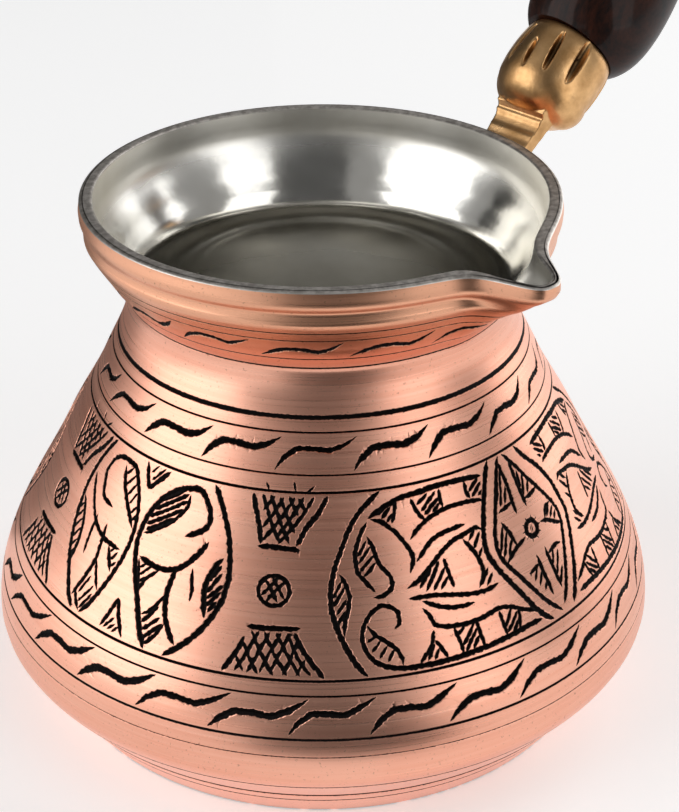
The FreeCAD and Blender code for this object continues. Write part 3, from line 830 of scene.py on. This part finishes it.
def spun(points, steps):
    """Solid turned about Z from an outline of (radius, height) in millimetres."""
    bpy.ops.mesh.primitive_plane_add(size=MM, location=(0, 0, 0))
    piece = bpy.context.object
    bpy.ops.object.mode_set(mode="EDIT")
    bpy.ops.mesh.delete(type="VERT")
    bm = bmesh.from_edit_mesh(piece.data)
    verts = [bm.verts.new((r * MM, 0.0, z * MM)) for r, z in points]
    for a, b in zip(verts, verts[1:]):
        bm.edges.new((a, b))
    bmesh.update_edit_mesh(piece.data)
    bpy.ops.mesh.select_all(action="SELECT")
    bpy.ops.mesh.spin(steps=steps, angle=math.tau, center=(0, 0, 0), axis=(0, 0, 1))
    bpy.ops.mesh.select_all(action="SELECT")
    bpy.ops.mesh.remove_doubles(threshold=1e-6)
    bpy.ops.object.mode_set(mode="OBJECT")
    face_outwards(piece)
    return piece


def fair(points, per_span):
    """Smooth outline through given (radius, height) points."""
    p = np.array(points, float)
    p = np.vstack([2 * p[0] - p[1], p, 2 * p[-1] - p[-2]])
    t = np.linspace(0, 1, per_span + 1)[:-1, None]
    run = []
    for a, b, c, d in zip(p, p[1:], p[2:], p[3:]):
        run.append(0.5 * (2 * b + (c - a) * t + (2 * a - 5 * b + 4 * c - d) * t ** 2
                          + (3 * b - a - 3 * c + d) * t ** 3))
    return [tuple(q) for q in np.vstack(run + [p[-2:-1]])]


# --- tin lining ---------------------------------------------------------------------------

def make_tin_lining():
    """Wiped tin over the floor, the wall and the flat rim, with eased edges."""
    columns = round_angles()
    count = len(columns)
    rings = []

    def ring(level, layer, pull=0.0):
        points = surface_points(columns, np.full(count, level), layer)
        if pull:
            points -= surface_normals(columns, np.full(count, level), layer) * pull * MM
            points[:, 2] = level * MM
        rings.append(points)

    ring(FLOOR_TOP - TIN, COPPER_INSIDE)
    for level in inner_levels()[::-1]:
        ring(level, COPPER_INSIDE)
    ring(COPPER_TOP, OUTSIDE)
    for below, pull in ((0.24, 0.04), (0.14, 0.14), (0.05, 0.32), (0.0, 0.6)):
        ring(RIM_Z - below, OUTSIDE, pull)
    outer = surface_points(columns, np.full(count, RIM_Z), OUTSIDE)
    inner = surface_points(columns, np.full(count, RIM_Z), TIN_INSIDE)
    rings += [outer + (inner - outer) * share for share in (0.25, 0.5, 0.75)]
    for below, pull in ((0.0, -0.4), (0.05, -0.2), (0.18, -0.05)):
        ring(RIM_Z - below, TIN_INSIDE, pull)
    for level in inner_levels()[1:]:
        ring(level, TIN_INSIDE)
    for above, pull in ((2.4, 0.1), (1.0, 0.5), (0.3, 1.2), (0.02, 2.2)):
        ring(FLOOR_TOP + above, TIN_INSIDE, pull)
    verts = [tuple(p) for points in rings for p in points]
    faces = ring_faces(0, len(rings), count)
    verts += [(0.0, 0.0, (FLOOR_TOP - TIN) * MM), (0.0, 0.0, FLOOR_TOP * MM)]
    last = (len(rings) - 1) * count
    for k in range(count):
        faces.append((k, (k + 1) % count, len(verts) - 2))
        faces.append((last + k, last + (k + 1) % count, len(verts) - 1))
    lining = mesh_object("wiped_tin_lining", "tin", verts, faces)
    face_outwards(lining)
    smooth(lining, 40.0)
    return lining


# --- brass bracket ------------------------------------------------------------------------

HANDLE_RISE = 37.0
STRAP_RISE = 41.0
CUP_RADIUS = 7.65
CUP_OUT = 48.7               # middle of the cup from the pot's axis
CUP_LIFT = 5.2               # and above the rim
CUP_ASIDE = -0.5             # the casting stands a little to one side of the handle
CUP_BELOW = 8.3
CUP_ABOVE = 4.9
CUP_MOUTH = 7.7
SOCKET_RADIUS = 6.4
SOCKET_DEPTH = 5.6
FLUTE_DEEP = 1.3             # half size of a flute's cutter, towards the cup's axis
FLUTE_BREADTH = 0.62         # its other half sizes, per width and per length of the flute
FLUTE_LENGTH = 0.58
FLUTES = (
    # turn round the cup, low end, high end, width, lean
    (180.0, -4.4, 0.6, 0.75, 6.0), (-154.5, -3.6, 3.6, 0.85, 7.0), (154.5, -3.6, 3.6, 0.85, -7.0),
    (-123.0, -2.8, 5.6, 1.3, 5.0), (123.0, -2.8, 5.6, 1.3, -5.0),
)
CUP_LEVELS = (-4.0, -2.6, -0.3, 1.8, 3.6, CUP_ABOVE)
CUP_SKIN = (7.15, 7.45, 7.6, 7.5, 7.35, 6.9)    # its radius at those levels, clear of the flutes
HEEL_PLACE = (0.5, 3.6, -3.8)    # of the heel on one side; the other is its mirror image
HEEL_SIZE = (5.5, 3.9, 4.2)
STRAP_ROWS = (
    # distance along the strap from the cup's middle, half width, half thickness
    (-24.0, 4.2, 1.1), (-15.0, 4.2, 1.05), (-12.6, 4.3, 1.02), (-11.6, 4.4, 1.1),
    (-10.8, 4.45, 1.04), (-9.8, 4.5, 1.12), (-9.1, 4.6, 1.35), (-8.6, 4.65, 1.3),
    (-8.0, 4.75, 1.75), (-7.4, 4.8, 1.75), (-6.7, 4.8, 2.1), (-5.6, 4.7, 2.7), (-3.0, 4.2, 2.9),
)
PLATE = {"width": 15.0, "bottom": RIM_Z - 17.5, "top": RIM_Z - 9.5, "thickness": 1.8}
PLATE_SINK = 0.05            # how far the plate's back lies in the neck's skin
NECK_GAP = 0.04              # how far inside the neck's skin the casting is cut off


def cup_middle():
    """Middle of the cup, in millimetres."""
    return Vector((CUP_OUT, CUP_ASIDE, RIM_Z + CUP_LIFT))


def turn_up(piece, rise):
    """Tips a piece made along +Z so that it points up the handle, and sets it at the cup."""
    select_only(piece)
    turn = Matrix.Rotation(math.radians(90.0 - rise), 4, "Y")
    piece.matrix_world = Matrix.Translation(cup_middle() * MM) @ turn
    bpy.ops.object.transform_apply(location=True, rotation=True, scale=True)
    return piece


def make_cup_blank():
    """Tulip-shaped cup with its socket, before the flutes are cut."""
    outside = fair([(0.0, -CUP_BELOW), (3.5, -8.05), (5.6, -6.9), (7.0, -4.9), (7.5, -2.6),
                    (CUP_RADIUS, -0.3), (7.6, 1.6), (7.45, 3.2), (7.15, 4.35),
                    (CUP_MOUTH - 0.85, CUP_ABOVE)], 5)
    inside = [(SOCKET_RADIUS + 0.35, CUP_ABOVE), (SOCKET_RADIUS, CUP_ABOVE - 0.5),
              (SOCKET_RADIUS, CUP_ABOVE - SOCKET_DEPTH), (0.0, CUP_ABOVE - SOCKET_DEPTH)]
    return spun(outside + inside, steps=96)


def flute_cutter(turn, start, end, width, lean):
    """Boat-shaped cutter for one flute: where it lies round the cup, its ends and its lean."""
    bpy.ops.mesh.primitive_uv_sphere_add(segments=24, ring_count=16, radius=MM, location=(0, 0, 0))
    cutter = bpy.context.object
    cutter.scale = (FLUTE_DEEP, FLUTE_BREADTH * width, FLUTE_LENGTH * (end - start))
    bpy.ops.object.transform_apply(scale=True)
    spin_turn = Matrix.Rotation(math.radians(turn), 4, "Z")
    tilt = Matrix.Rotation(math.radians(lean), 4, "X")
    radius = (CUP_RADIUS + 0.15) * MM
    cutter.matrix_world = spin_turn @ Matrix.Translation((radius, 0, 0.5 * (start + end) * MM)) @ tilt
    bpy.ops.object.transform_apply(location=True, rotation=True, scale=True)
    return cutter


def make_cup():
    """Cup with five flutes on its upper side and five below."""
    cup = make_cup_blank()
    cutters = []
    for turn, start, end, width, lean in FLUTES:
        cutters.append(flute_cutter(turn, start, end, width, lean))
        cutters.append(flute_cutter(turn + 180.0, start, end, width, -lean))
    select_only(*cutters)
    bpy.ops.object.join()
    cutter = bpy.context.object
    apply_modifier(cup, "BOOLEAN", object=cutter, operation="DIFFERENCE", solver="EXACT")
    bpy.data.objects.remove(cutter, do_unlink=True)
    return cup


def swelling(place, size):
    """Rounded lump of the casting: an oval ball at a place by the cup, with its half sizes."""
    bpy.ops.mesh.primitive_uv_sphere_add(segments=32, ring_count=16, radius=MM, location=(0, 0, 0))
    lump = bpy.context.object
    lump.scale = size
    lump.location = [part * MM for part in place]
    bpy.ops.object.transform_apply(location=True, rotation=True, scale=True)
    return lump


def make_strap():
    """Hammered flat bar, rippled on top where it thickens and runs into the cup."""
    bpy.ops.mesh.primitive_plane_add(size=2.0 * MM, location=(0, 0, 0))
    strap = bpy.context.object
    first = STRAP_ROWS[0]
    strap.scale = (first[2], first[1], 1.0)
    strap.location = (0, 0, first[0] * MM)
    bpy.ops.object.transform_apply(location=True, rotation=True, scale=True)
    bpy.ops.object.mode_set(mode="EDIT")
    for before, after in zip(STRAP_ROWS, STRAP_ROWS[1:]):
        shift = ((before[2] - after[2]) * MM, 0, (after[0] - before[0]) * MM)
        bpy.ops.mesh.extrude_region_move(TRANSFORM_OT_translate={"value": shift})
        bpy.ops.transform.resize(value=(after[2] / before[2], after[1] / before[1], 1.0))
    bpy.ops.object.mode_set(mode="OBJECT")
    face_outwards(strap)
    return strap


def make_plate():
    """Plate hugging the neck, a little narrower at its ends and thinner towards its edges."""
    across, up = 40, 30
    half = 0.5 * PLATE["width"]
    verts, faces = [], []
    for skin in range(2):
        for row in range(up + 1):
            for column in range(across + 1):
                v = 2.0 * row / up - 1.0
                u = 2.0 * column / across - 1.0
                y = half * u * (1.0 - max(0.0, abs(v) - 0.55) ** 2)
                z = PLATE["bottom"] + (PLATE["top"] - PLATE["bottom"]) * 0.5 * (v + 1.0)
                rounded = (1.0 - max(abs(u), abs(v)) ** 8) if skin else 0.0
                base = float(round_radius(z)) - PLATE_SINK
                thick = PLATE["thickness"] * (0.75 + 0.25 * rounded) if skin else 0.0
                lean = math.sqrt(1 + float(profile_slope(z)) ** 2)
                radius = base + thick * lean
                verts.append((math.sqrt(radius ** 2 - y ** 2) * MM, y * MM, z * MM))
    width = across + 1
    count = width * (up + 1)
    for row in range(up):
        for column in range(across):
            a = row * width + column
            faces.append((a, a + width, a + width + 1, a + 1))
            faces.append((count + a, count + a + 1, count + a + width + 1, count + a + width))
    edge = list(range(width))
    edge += [row * width + across for row in range(1, up + 1)]
    edge += [up * width + column for column in range(across - 1, -1, -1)]
    edge += [row * width for row in range(up - 1, 0, -1)]
    for a, b in zip(edge, edge[1:] + edge[:1]):
        faces.append((a, b, count + b, count + a))
    plate = mesh_object("plate", "plate", verts, faces)
    face_outwards(plate)
    return plate


def trim_inside_pot(piece):
    """Cuts off what would stand inside the neck."""
    outline = [(0.0, 30.0)]
    outline += [(float(round_radius(z)) - NECK_GAP, z) for z in np.arange(40.0, RIM_Z, 1.0)]
    outline += [(float(round_radius(RIM_Z)) - NECK_GAP, RIM_Z + 3.0), (0.0, RIM_Z + 3.0)]
    core = spun(outline, steps=180)
    apply_modifier(piece, "BOOLEAN", object=core, operation="DIFFERENCE", solver="EXACT")
    bpy.data.objects.remove(core, do_unlink=True)


def mark_hollows(bracket):
    """Marks how deep each point of the cup lies in a flute, for the painted shade in the hollows."""
    rise = math.radians(HANDLE_RISE)
    mesh = bracket.data
    points = np.empty(len(mesh.vertices) * 3)
    mesh.vertices.foreach_get("co", points)
    points = points.reshape(-1, 3) / MM - np.array(cup_middle())
    along = points[:, 0] * math.cos(rise) + points[:, 2] * math.sin(rise)
    down = points[:, 0] * math.sin(rise) - points[:, 2] * math.cos(rise)
    radius = np.hypot(down, points[:, 1])
    skin = np.interp(along, CUP_LEVELS, CUP_SKIN)
    deep = np.clip((skin - radius - 0.15) / 0.7, 0.0, 1.0)
    deep[(along < -5.0) | (along > CUP_ABOVE + 0.2)] = 0.0
    note_points(bracket, "hollow", deep)


def make_bracket():
    """One casting: plate, strap, heels and fluted cup, blended and softened as sand leaves it."""
    parts = [turn_up(make_cup(), HANDLE_RISE)]
    out, aside, up = HEEL_PLACE
    for side in (-1.0, 1.0):
        parts.append(turn_up(swelling((out, side * aside, up), HEEL_SIZE), HANDLE_RISE))
    parts.append(turn_up(make_strap(), STRAP_RISE))
    parts.append(make_plate())
    select_only(*parts)
    bpy.ops.object.join()
    bracket = bpy.context.object
    apply_modifier(bracket, "REMESH", mode="VOXEL", voxel_size=0.17 * MM)
    apply_modifier(bracket, "SMOOTH", factor=0.5, iterations=6)
    trim_inside_pot(bracket)
    settle(bracket, "cast_brass_bracket")
    mark_hollows(bracket)
    smooth(bracket, 45.0)
    return bracket


# --- materials ----------------------------------------------------------------------------

def new_material(name):
    material = bpy.data.materials.new(name)
    material.use_nodes = True
    nodes = material.node_tree.nodes
    return material, nodes, material.node_tree.links, nodes["Principled BSDF"]


def height_of_point(nodes, links):
    """Height of the shaded point above the underside, in metres."""
    place = nodes.new("ShaderNodeTexCoord")
    parts = nodes.new("ShaderNodeSeparateXYZ")
    links.new(place.outputs["Object"], parts.inputs["Vector"])
    return parts.outputs["Z"]


def noise(nodes, links, scale, detail, roughness):
    """Noise in the piece's own coordinates, with a scale for each axis."""
    place = nodes.new("ShaderNodeTexCoord")
    mapping = nodes.new("ShaderNodeMapping")
    mapping.inputs["Scale"].default_value = scale
    links.new(place.outputs["Object"], mapping.inputs["Vector"])
    node = nodes.new("ShaderNodeTexNoise")
    node.inputs["Scale"].default_value = 1.0
    node.inputs["Detail"].default_value = detail
    node.inputs["Roughness"].default_value = roughness
    links.new(mapping.outputs["Vector"], node.inputs["Vector"])
    return node.outputs["Fac"]


def ramp(nodes, links, value, low, high, start, end):
    """Straight-line remap of a value, held at both ends."""
    node = nodes.new("ShaderNodeMapRange")
    node.inputs["From Min"].default_value = low
    node.inputs["From Max"].default_value = high
    node.inputs["To Min"].default_value = start
    node.inputs["To Max"].default_value = end
    links.new(value, node.inputs["Value"])
    return node.outputs["Result"]


def mix_color(nodes, links, share, first, second):
    node = nodes.new("ShaderNodeMix")
    node.data_type = "RGBA"
    for socket, value in ((node.inputs[6], first), (node.inputs[7], second)):
        if isinstance(value, tuple):
            socket.default_value = (*value, 1.0)
        else:
            links.new(value, socket)
    links.new(share, node.inputs[0])
    return node.outputs[2]


def towards(nodes, links, share, value, number):
    """A value moved towards a number by a share."""
    node = nodes.new("ShaderNodeMix")
    node.inputs[3].default_value = number
    links.new(value, node.inputs[2])
    links.new(share, node.inputs[0])
    return node.outputs[0]


def sum_of(nodes, links, first, second):
    node = nodes.new("ShaderNodeMath")
    node.operation = "ADD"
    links.new(first, node.inputs[0])
    links.new(second, node.inputs[1])
    return node.outputs[0]


def bump(nodes, links, height, strength, distance, normal=None):
    node = nodes.new("ShaderNodeBump")
    node.inputs["Strength"].default_value = strength
    node.inputs["Distance"].default_value = distance
    links.new(height, node.inputs["Height"])
    if normal is not None:
        links.new(normal, node.inputs["Normal"])
    return node.outputs["Normal"]


COPPER_DEEP = (0.88, 0.40, 0.275)
COPPER_PINK = (0.95, 0.485, 0.35)
COPPER_PALE = (0.965, 0.545, 0.405)
# painted reflection and shade: darker, warmer copper standing in for the body's reflection in the lip
COPPER_LIP_REFLECTION = (0.78, 0.40, 0.24)
LIP_REFLECTION_SPAN = (15.0, 8.0)      # painted reflection: the copper is tinted towards the body's warm reflection between these distances below the rim
LIP_REFLECTION_SHARE = 0.75
PATINA = (0.012, 0.010, 0.010)
TIN_GREY = (0.74, 0.715, 0.655)
TIN_BRIGHT = (0.90, 0.885, 0.84)
TIN_WORN = (0.36, 0.33, 0.30)
TIN_RUBBED = (0.60, 0.56, 0.52)
TIN_EDGE = (0.35, 0.1)       # the worn edge begins and is full this far below the rim
DULL_BELOW = (50.0, 61.0)    # the tin is dull at the first level and clear at the second
DULL_ABOVE = (70.0, 73.5)    # and dull again from the first of these to the second
BRASS_BROWN = (0.50, 0.275, 0.11)
BRASS_YELLOW = (0.82, 0.50, 0.235)
# painted shade laid into the flute hollows
BRASS_FLUTE_SHADE = (0.035, 0.02, 0.01)
WOOD_DARK = (0.004, 0.002, 0.0018)
WOOD_RED = (0.035, 0.009, 0.004)
STEEL_GREY = (0.42, 0.42, 0.43)
STEEL_PALE = (0.62, 0.62, 0.62)


def copper_material():
    """Lathe-brushed pink copper, black patina rubbed into every cut, and a painted reflection tinting
    the lip.
    """
    material, nodes, links, shader = new_material("brushed_copper")
    hair = noise(nodes, links, (14.0, 14.0, 5200.0), 5.0, 0.7)
    streak = noise(nodes, links, (18.0, 18.0, 1500.0), 4.0, 0.65)
    cloud = noise(nodes, links, (45.0, 45.0, 45.0), 3.0, 0.5)
    tone = mix_color(nodes, links, ramp(nodes, links, streak, 0.3, 0.7, 0.0, 1.0),
                     COPPER_DEEP, COPPER_PINK)
    tone = mix_color(nodes, links, ramp(nodes, links, cloud, 0.42, 0.66, 0.0, 0.35),
                     tone, COPPER_PALE)
    level = height_of_point(nodes, links)
    # painted reflection and shade: towards the rim the copper is tinted darker and warmer, standing in
    # for the body's warm reflection in the lip
    start, end = ((RIM_Z - below) * MM for below in LIP_REFLECTION_SPAN)
    tone = mix_color(nodes, links, ramp(nodes, links, level, start, end, 0.0, LIP_REFLECTION_SHARE),
                     tone, COPPER_LIP_REFLECTION)
    mark = nodes.new("ShaderNodeAttribute")
    mark.attribute_name = "cut"
    share = mark.outputs["Fac"]
    grime = noise(nodes, links, (2600.0, 2600.0, 2600.0), 3.0, 0.6)
    threshold = sum_of(nodes, links, share, ramp(nodes, links, grime, 0.3, 0.7, -0.12, 0.12))
    dark = ramp(nodes, links, threshold, 0.08, 0.2, 0.0, 1.0)
    color = mix_color(nodes, links, dark, tone, PATINA)
    links.new(color, shader.inputs["Base Color"])
    rough = ramp(nodes, links, hair, 0.25, 0.75, 0.24, 0.36)
    links.new(towards(nodes, links, dark, rough, 0.6), shader.inputs["Roughness"])
    shader.inputs["Metallic"].default_value = 1.0
    shader.inputs["Anisotropic"].default_value = 0.65
    tangent = nodes.new("ShaderNodeTangent")
    tangent.direction_type = "RADIAL"
    tangent.axis = "Z"
    links.new(tangent.outputs["Tangent"], shader.inputs["Tangent"])
    normal = bump(nodes, links, hair, 0.2, 0.00005)
    normal = bump(nodes, links, streak, 0.05, 0.00005, normal)
    links.new(normal, shader.inputs["Normal"])
    return material


def tin_material():
    """Tin wiped on molten: bright, uneven, a little grey, duller low down and under the rim."""
    material, nodes, links, shader = new_material("wiped_tin")
    cloud = noise(nodes, links, (48.0, 48.0, 60.0), 4.0, 0.55)
    fine = noise(nodes, links, (900.0, 900.0, 900.0), 4.0, 0.6)
    tone = mix_color(nodes, links, ramp(nodes, links, cloud, 0.35, 0.65, 0.0, 1.0),
                     TIN_GREY, TIN_BRIGHT)
    level = height_of_point(nodes, links)
    start, end = ((RIM_Z - below) * MM for below in TIN_EDGE)
    edge = ramp(nodes, links, level, start, end, 0.0, 1.0)
    worn = mix_color(nodes, links, ramp(nodes, links, fine, 0.4, 0.62, 0.0, 1.0),
                     TIN_WORN, TIN_RUBBED)
    tone = mix_color(nodes, links, edge, tone, worn)
    links.new(tone, shader.inputs["Base Color"])
    shader.inputs["Metallic"].default_value = 1.0
    rough = ramp(nodes, links, cloud, 0.3, 0.7, 0.10, 0.22)
    deep = ramp(nodes, links, level, DULL_BELOW[0] * MM, DULL_BELOW[1] * MM, 1.0, 0.0)
    collar = ramp(nodes, links, level, DULL_ABOVE[0] * MM, DULL_ABOVE[1] * MM, 0.0, 1.0)
    rough = towards(nodes, links, deep, rough, 0.36)
    rough = towards(nodes, links, collar, rough, 0.33)
    links.new(towards(nodes, links, edge, rough, 0.5), shader.inputs["Roughness"])
    normal = bump(nodes, links, cloud, 0.16, 0.0008)
    normal = bump(nodes, links, fine, 0.08, 0.0001, normal)
    links.new(normal, shader.inputs["Normal"])
    return material


def brass_material():
    """Cast and rubbed brass, with painted shade near black in the flute hollows."""
    material, nodes, links, shader = new_material("cast_brass")
    cloud = noise(nodes, links, (260.0, 260.0, 260.0), 5.0, 0.6)
    grain = noise(nodes, links, (2600.0, 2600.0, 2600.0), 3.0, 0.6)
    tone = mix_color(nodes, links, ramp(nodes, links, cloud, 0.35, 0.7, 0.0, 1.0),
                     BRASS_BROWN, BRASS_YELLOW)
    mark = nodes.new("ShaderNodeAttribute")
    mark.attribute_name = "hollow"
    # painted shade: the flutes are darkened nearly to black by how deep they lie
    flute_shade = ramp(nodes, links, mark.outputs["Fac"], 0.15, 1.0, 0.0, 0.9)
    tone = mix_color(nodes, links, flute_shade, tone, BRASS_FLUTE_SHADE)
    links.new(tone, shader.inputs["Base Color"])
    shader.inputs["Metallic"].default_value = 1.0
    links.new(ramp(nodes, links, cloud, 0.3, 0.7, 0.42, 0.27), shader.inputs["Roughness"])
    normal = bump(nodes, links, cloud, 0.12, 0.0004)
    normal = bump(nodes, links, grain, 0.25, 0.00008, normal)
    links.new(normal, shader.inputs["Normal"])
    return material


def wood_material():
    """Dark stained wood under a thin clear lacquer."""
    material, nodes, links, shader = new_material("lacquered_wood")
    grain = noise(nodes, links, (260.0, 900.0, 320.0), 6.0, 0.7)
    tone = mix_color(nodes, links, ramp(nodes, links, grain, 0.35, 0.7, 0.0, 1.0),
                     WOOD_DARK, WOOD_RED)
    links.new(tone, shader.inputs["Base Color"])
    shader.inputs["Roughness"].default_value = 0.45
    shader.inputs["Specular IOR Level"].default_value = 0.1
    shader.inputs["Coat Weight"].default_value = 0.2
    shader.inputs["Coat Roughness"].default_value = 0.1
    links.new(bump(nodes, links, grain, 0.08, 0.0002), shader.inputs["Normal"])
    return material


def steel_material():
    """Drawn steel with fine lengthwise lines."""
    material, nodes, links, shader = new_material("drawn_steel")
    line = noise(nodes, links, (3000.0, 3000.0, 80.0), 3.0, 0.6)
    links.new(mix_color(nodes, links, line, STEEL_GREY, STEEL_PALE), shader.inputs["Base Color"])
    shader.inputs["Metallic"].default_value = 1.0
    links.new(ramp(nodes, links, line, 0.3, 0.7, 0.3, 0.45), shader.inputs["Roughness"])
    return material


def paint(piece, material):
    piece.data.materials.clear()
    piece.data.materials.append(material)


def paint_node(name, material):
    """Gives a fixed node the finished material through its own slots."""
    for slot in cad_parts[name].material_slots:
        slot.material = material


# --- stage --------------------------------------------------------------------------------

CAMERA_TURN = -43.0
CAMERA_RISE = 29.065
CAMERA_ROLL = -0.238
CAMERA_DISTANCE = 307.45
LENS = 87.5
SENSOR = 36.0
AIM_HEIGHT = 18.3            # level of the point on the axis that the camera is placed from
AIM_RIGHT = -2.53            # where that point lies from the view's middle
AIM_UP = -21.395


def make_camera():
    turn, rise = math.radians(CAMERA_TURN), math.radians(CAMERA_RISE)
    flat = math.cos(rise)
    back = Vector((math.sin(turn) * flat, -math.cos(turn) * flat, math.sin(rise)))
    right = Vector((math.cos(turn), math.sin(turn), 0.0))
    up = back.cross(right)
    roll = Matrix.Rotation(math.radians(CAMERA_ROLL), 3, back)
    right, up = roll @ right, roll @ up
    place = Vector((0.0, 0.0, AIM_HEIGHT)) - right * AIM_RIGHT - up * AIM_UP + back * CAMERA_DISTANCE
    data = bpy.data.cameras.new("camera")
    data.lens = LENS
    data.sensor_fit = "VERTICAL"
    data.sensor_height = SENSOR
    data.clip_start = 0.01
    camera = bpy.data.objects.new("camera", data)
    camera.matrix_world = Matrix((
        (right.x, up.x, back.x, place.x * MM), (right.y, up.y, back.y, place.y * MM),
        (right.z, up.z, back.z, place.z * MM), (0.0, 0.0, 0.0, 1.0)))
    bpy.context.collection.objects.link(camera)
    bpy.context.scene.camera = camera


PANEL_DISTANCE = 0.75        # from the axis to each softbox, in metres
PANEL_HEIGHT = 0.9


def corner_at(azimuth, distance, level):
    """A place on the stage in metres: which way from the axis, how far and how high."""
    turn = math.radians(azimuth)
    return distance * math.cos(turn), distance * math.sin(turn), level


def soft_panel(name, azimuth, spread, brightness):
    """Softbox standing on the floor: which way it stands, how wide it looks and how bright."""
    place = Vector(corner_at(azimuth, PANEL_DISTANCE, 0.5 * PANEL_HEIGHT))
    data = bpy.data.lights.new(name, "AREA")
    data.shape = "RECTANGLE"
    data.size = 2.0 * PANEL_DISTANCE * math.tan(math.radians(0.5 * spread))
    data.size_y = PANEL_HEIGHT
    data.energy = brightness * math.pi * data.size * data.size_y
    light = bpy.data.objects.new(name, data)
    light.location = place
    light.rotation_euler = Vector((-place.x, -place.y, 0.0)).to_track_quat("-Z", "Y").to_euler()
    bpy.context.collection.objects.link(light)


def reflector_card(name, verts, shade):
    """Card that only polished metal sees: it shapes the reflections and is not in the view."""
    card = mesh_object(name, name, verts, [tuple(range(len(verts)))])
    material, _, _, shader = new_material(name)
    shader.inputs["Base Color"].default_value = (shade, shade, shade, 1.0)
    shader.inputs["Roughness"].default_value = 1.0
    shader.inputs["Specular IOR Level"].default_value = 0.0
    paint(card, material)
    card.visible_camera = False
    card.visible_diffuse = False
    card.visible_shadow = False
    card.visible_transmission = False


def standing_card(name, first, last, distance, height, shade):
    outline = ((first, 0.0), (last, 0.0), (last, height), (first, height))
    reflector_card(name, [corner_at(azimuth, distance, level) for azimuth, level in outline], shade)


def lying_card(name, first, last, near, far, level, shade):
    outline = ((first, near), (last, near), (last, far), (first, far))
    reflector_card(name, [corner_at(azimuth, distance, level) for azimuth, distance in outline], shade)


def make_stage():
    bpy.ops.object.select_all(action="DESELECT")
    bpy.ops.mesh.primitive_plane_add(size=6.0, location=(0.0, 0.0, -0.0002))
    floor = bpy.context.object
    floor.name = "floor"
    material, _, _, shader = new_material("pale_floor")
    shader.inputs["Base Color"].default_value = (0.9, 0.9, 0.9, 1.0)
    shader.inputs["Roughness"].default_value = 0.7
    shader.inputs["Emission Color"].default_value = (1.0, 1.0, 1.0, 1.0)
    shader.inputs["Emission Strength"].default_value = 0.36
    paint(floor, material)
    world = bpy.data.worlds.new("studio")
    world.use_nodes = True
    background = world.node_tree.nodes["Background"]
    background.inputs["Color"].default_value = (1.0, 1.0, 1.0, 1.0)
    background.inputs["Strength"].default_value = 0.3
    bpy.context.scene.world = world
    bpy.context.scene.view_settings.view_transform = "Standard"
    soft_panel("left_panel", 156.0, 54.0, 1.85)
    soft_panel("right_panel", -84.0, 32.0, 1.3)
    soft_panel("far_right_panel", -6.0, 56.0, 1.5)
    standing_card("front_card", -151.0, -101.0, 0.7, 1.2, 0.1)
    standing_card("back_left_card", 60.0, 112.0, 0.7, 1.0, 0.05)
    lying_card("front_floor_card", -152.0, -100.0, 0.1, 0.69, 0.001, 0.1)
    lying_card("back_left_floor_card", 50.0, 110.0, 0.075, 0.69, 0.0012, 0.15)


# --- the pot ------------------------------------------------------------------------------

copper = copper_material()
tin = tin_material()
brass = brass_material()
wood = wood_material()
steel = steel_material()

body = make_copper_body()
paint(body, copper)
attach(body, "pot")
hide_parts("copper_body")

lining = make_tin_lining()
paint(lining, tin)
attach(lining, "pot")
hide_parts("tin_lining")

bracket = make_bracket()
paint(bracket, brass)
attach(bracket, "pot")
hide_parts("handle_bracket")

paint_node("bracket_rivets", copper)
paint_node("handle_rod", steel)
paint_node("wood_handle", wood)
paint_node("end_cap", brass)
paint_node("hang_ring", brass)

make_stage()
make_camera()
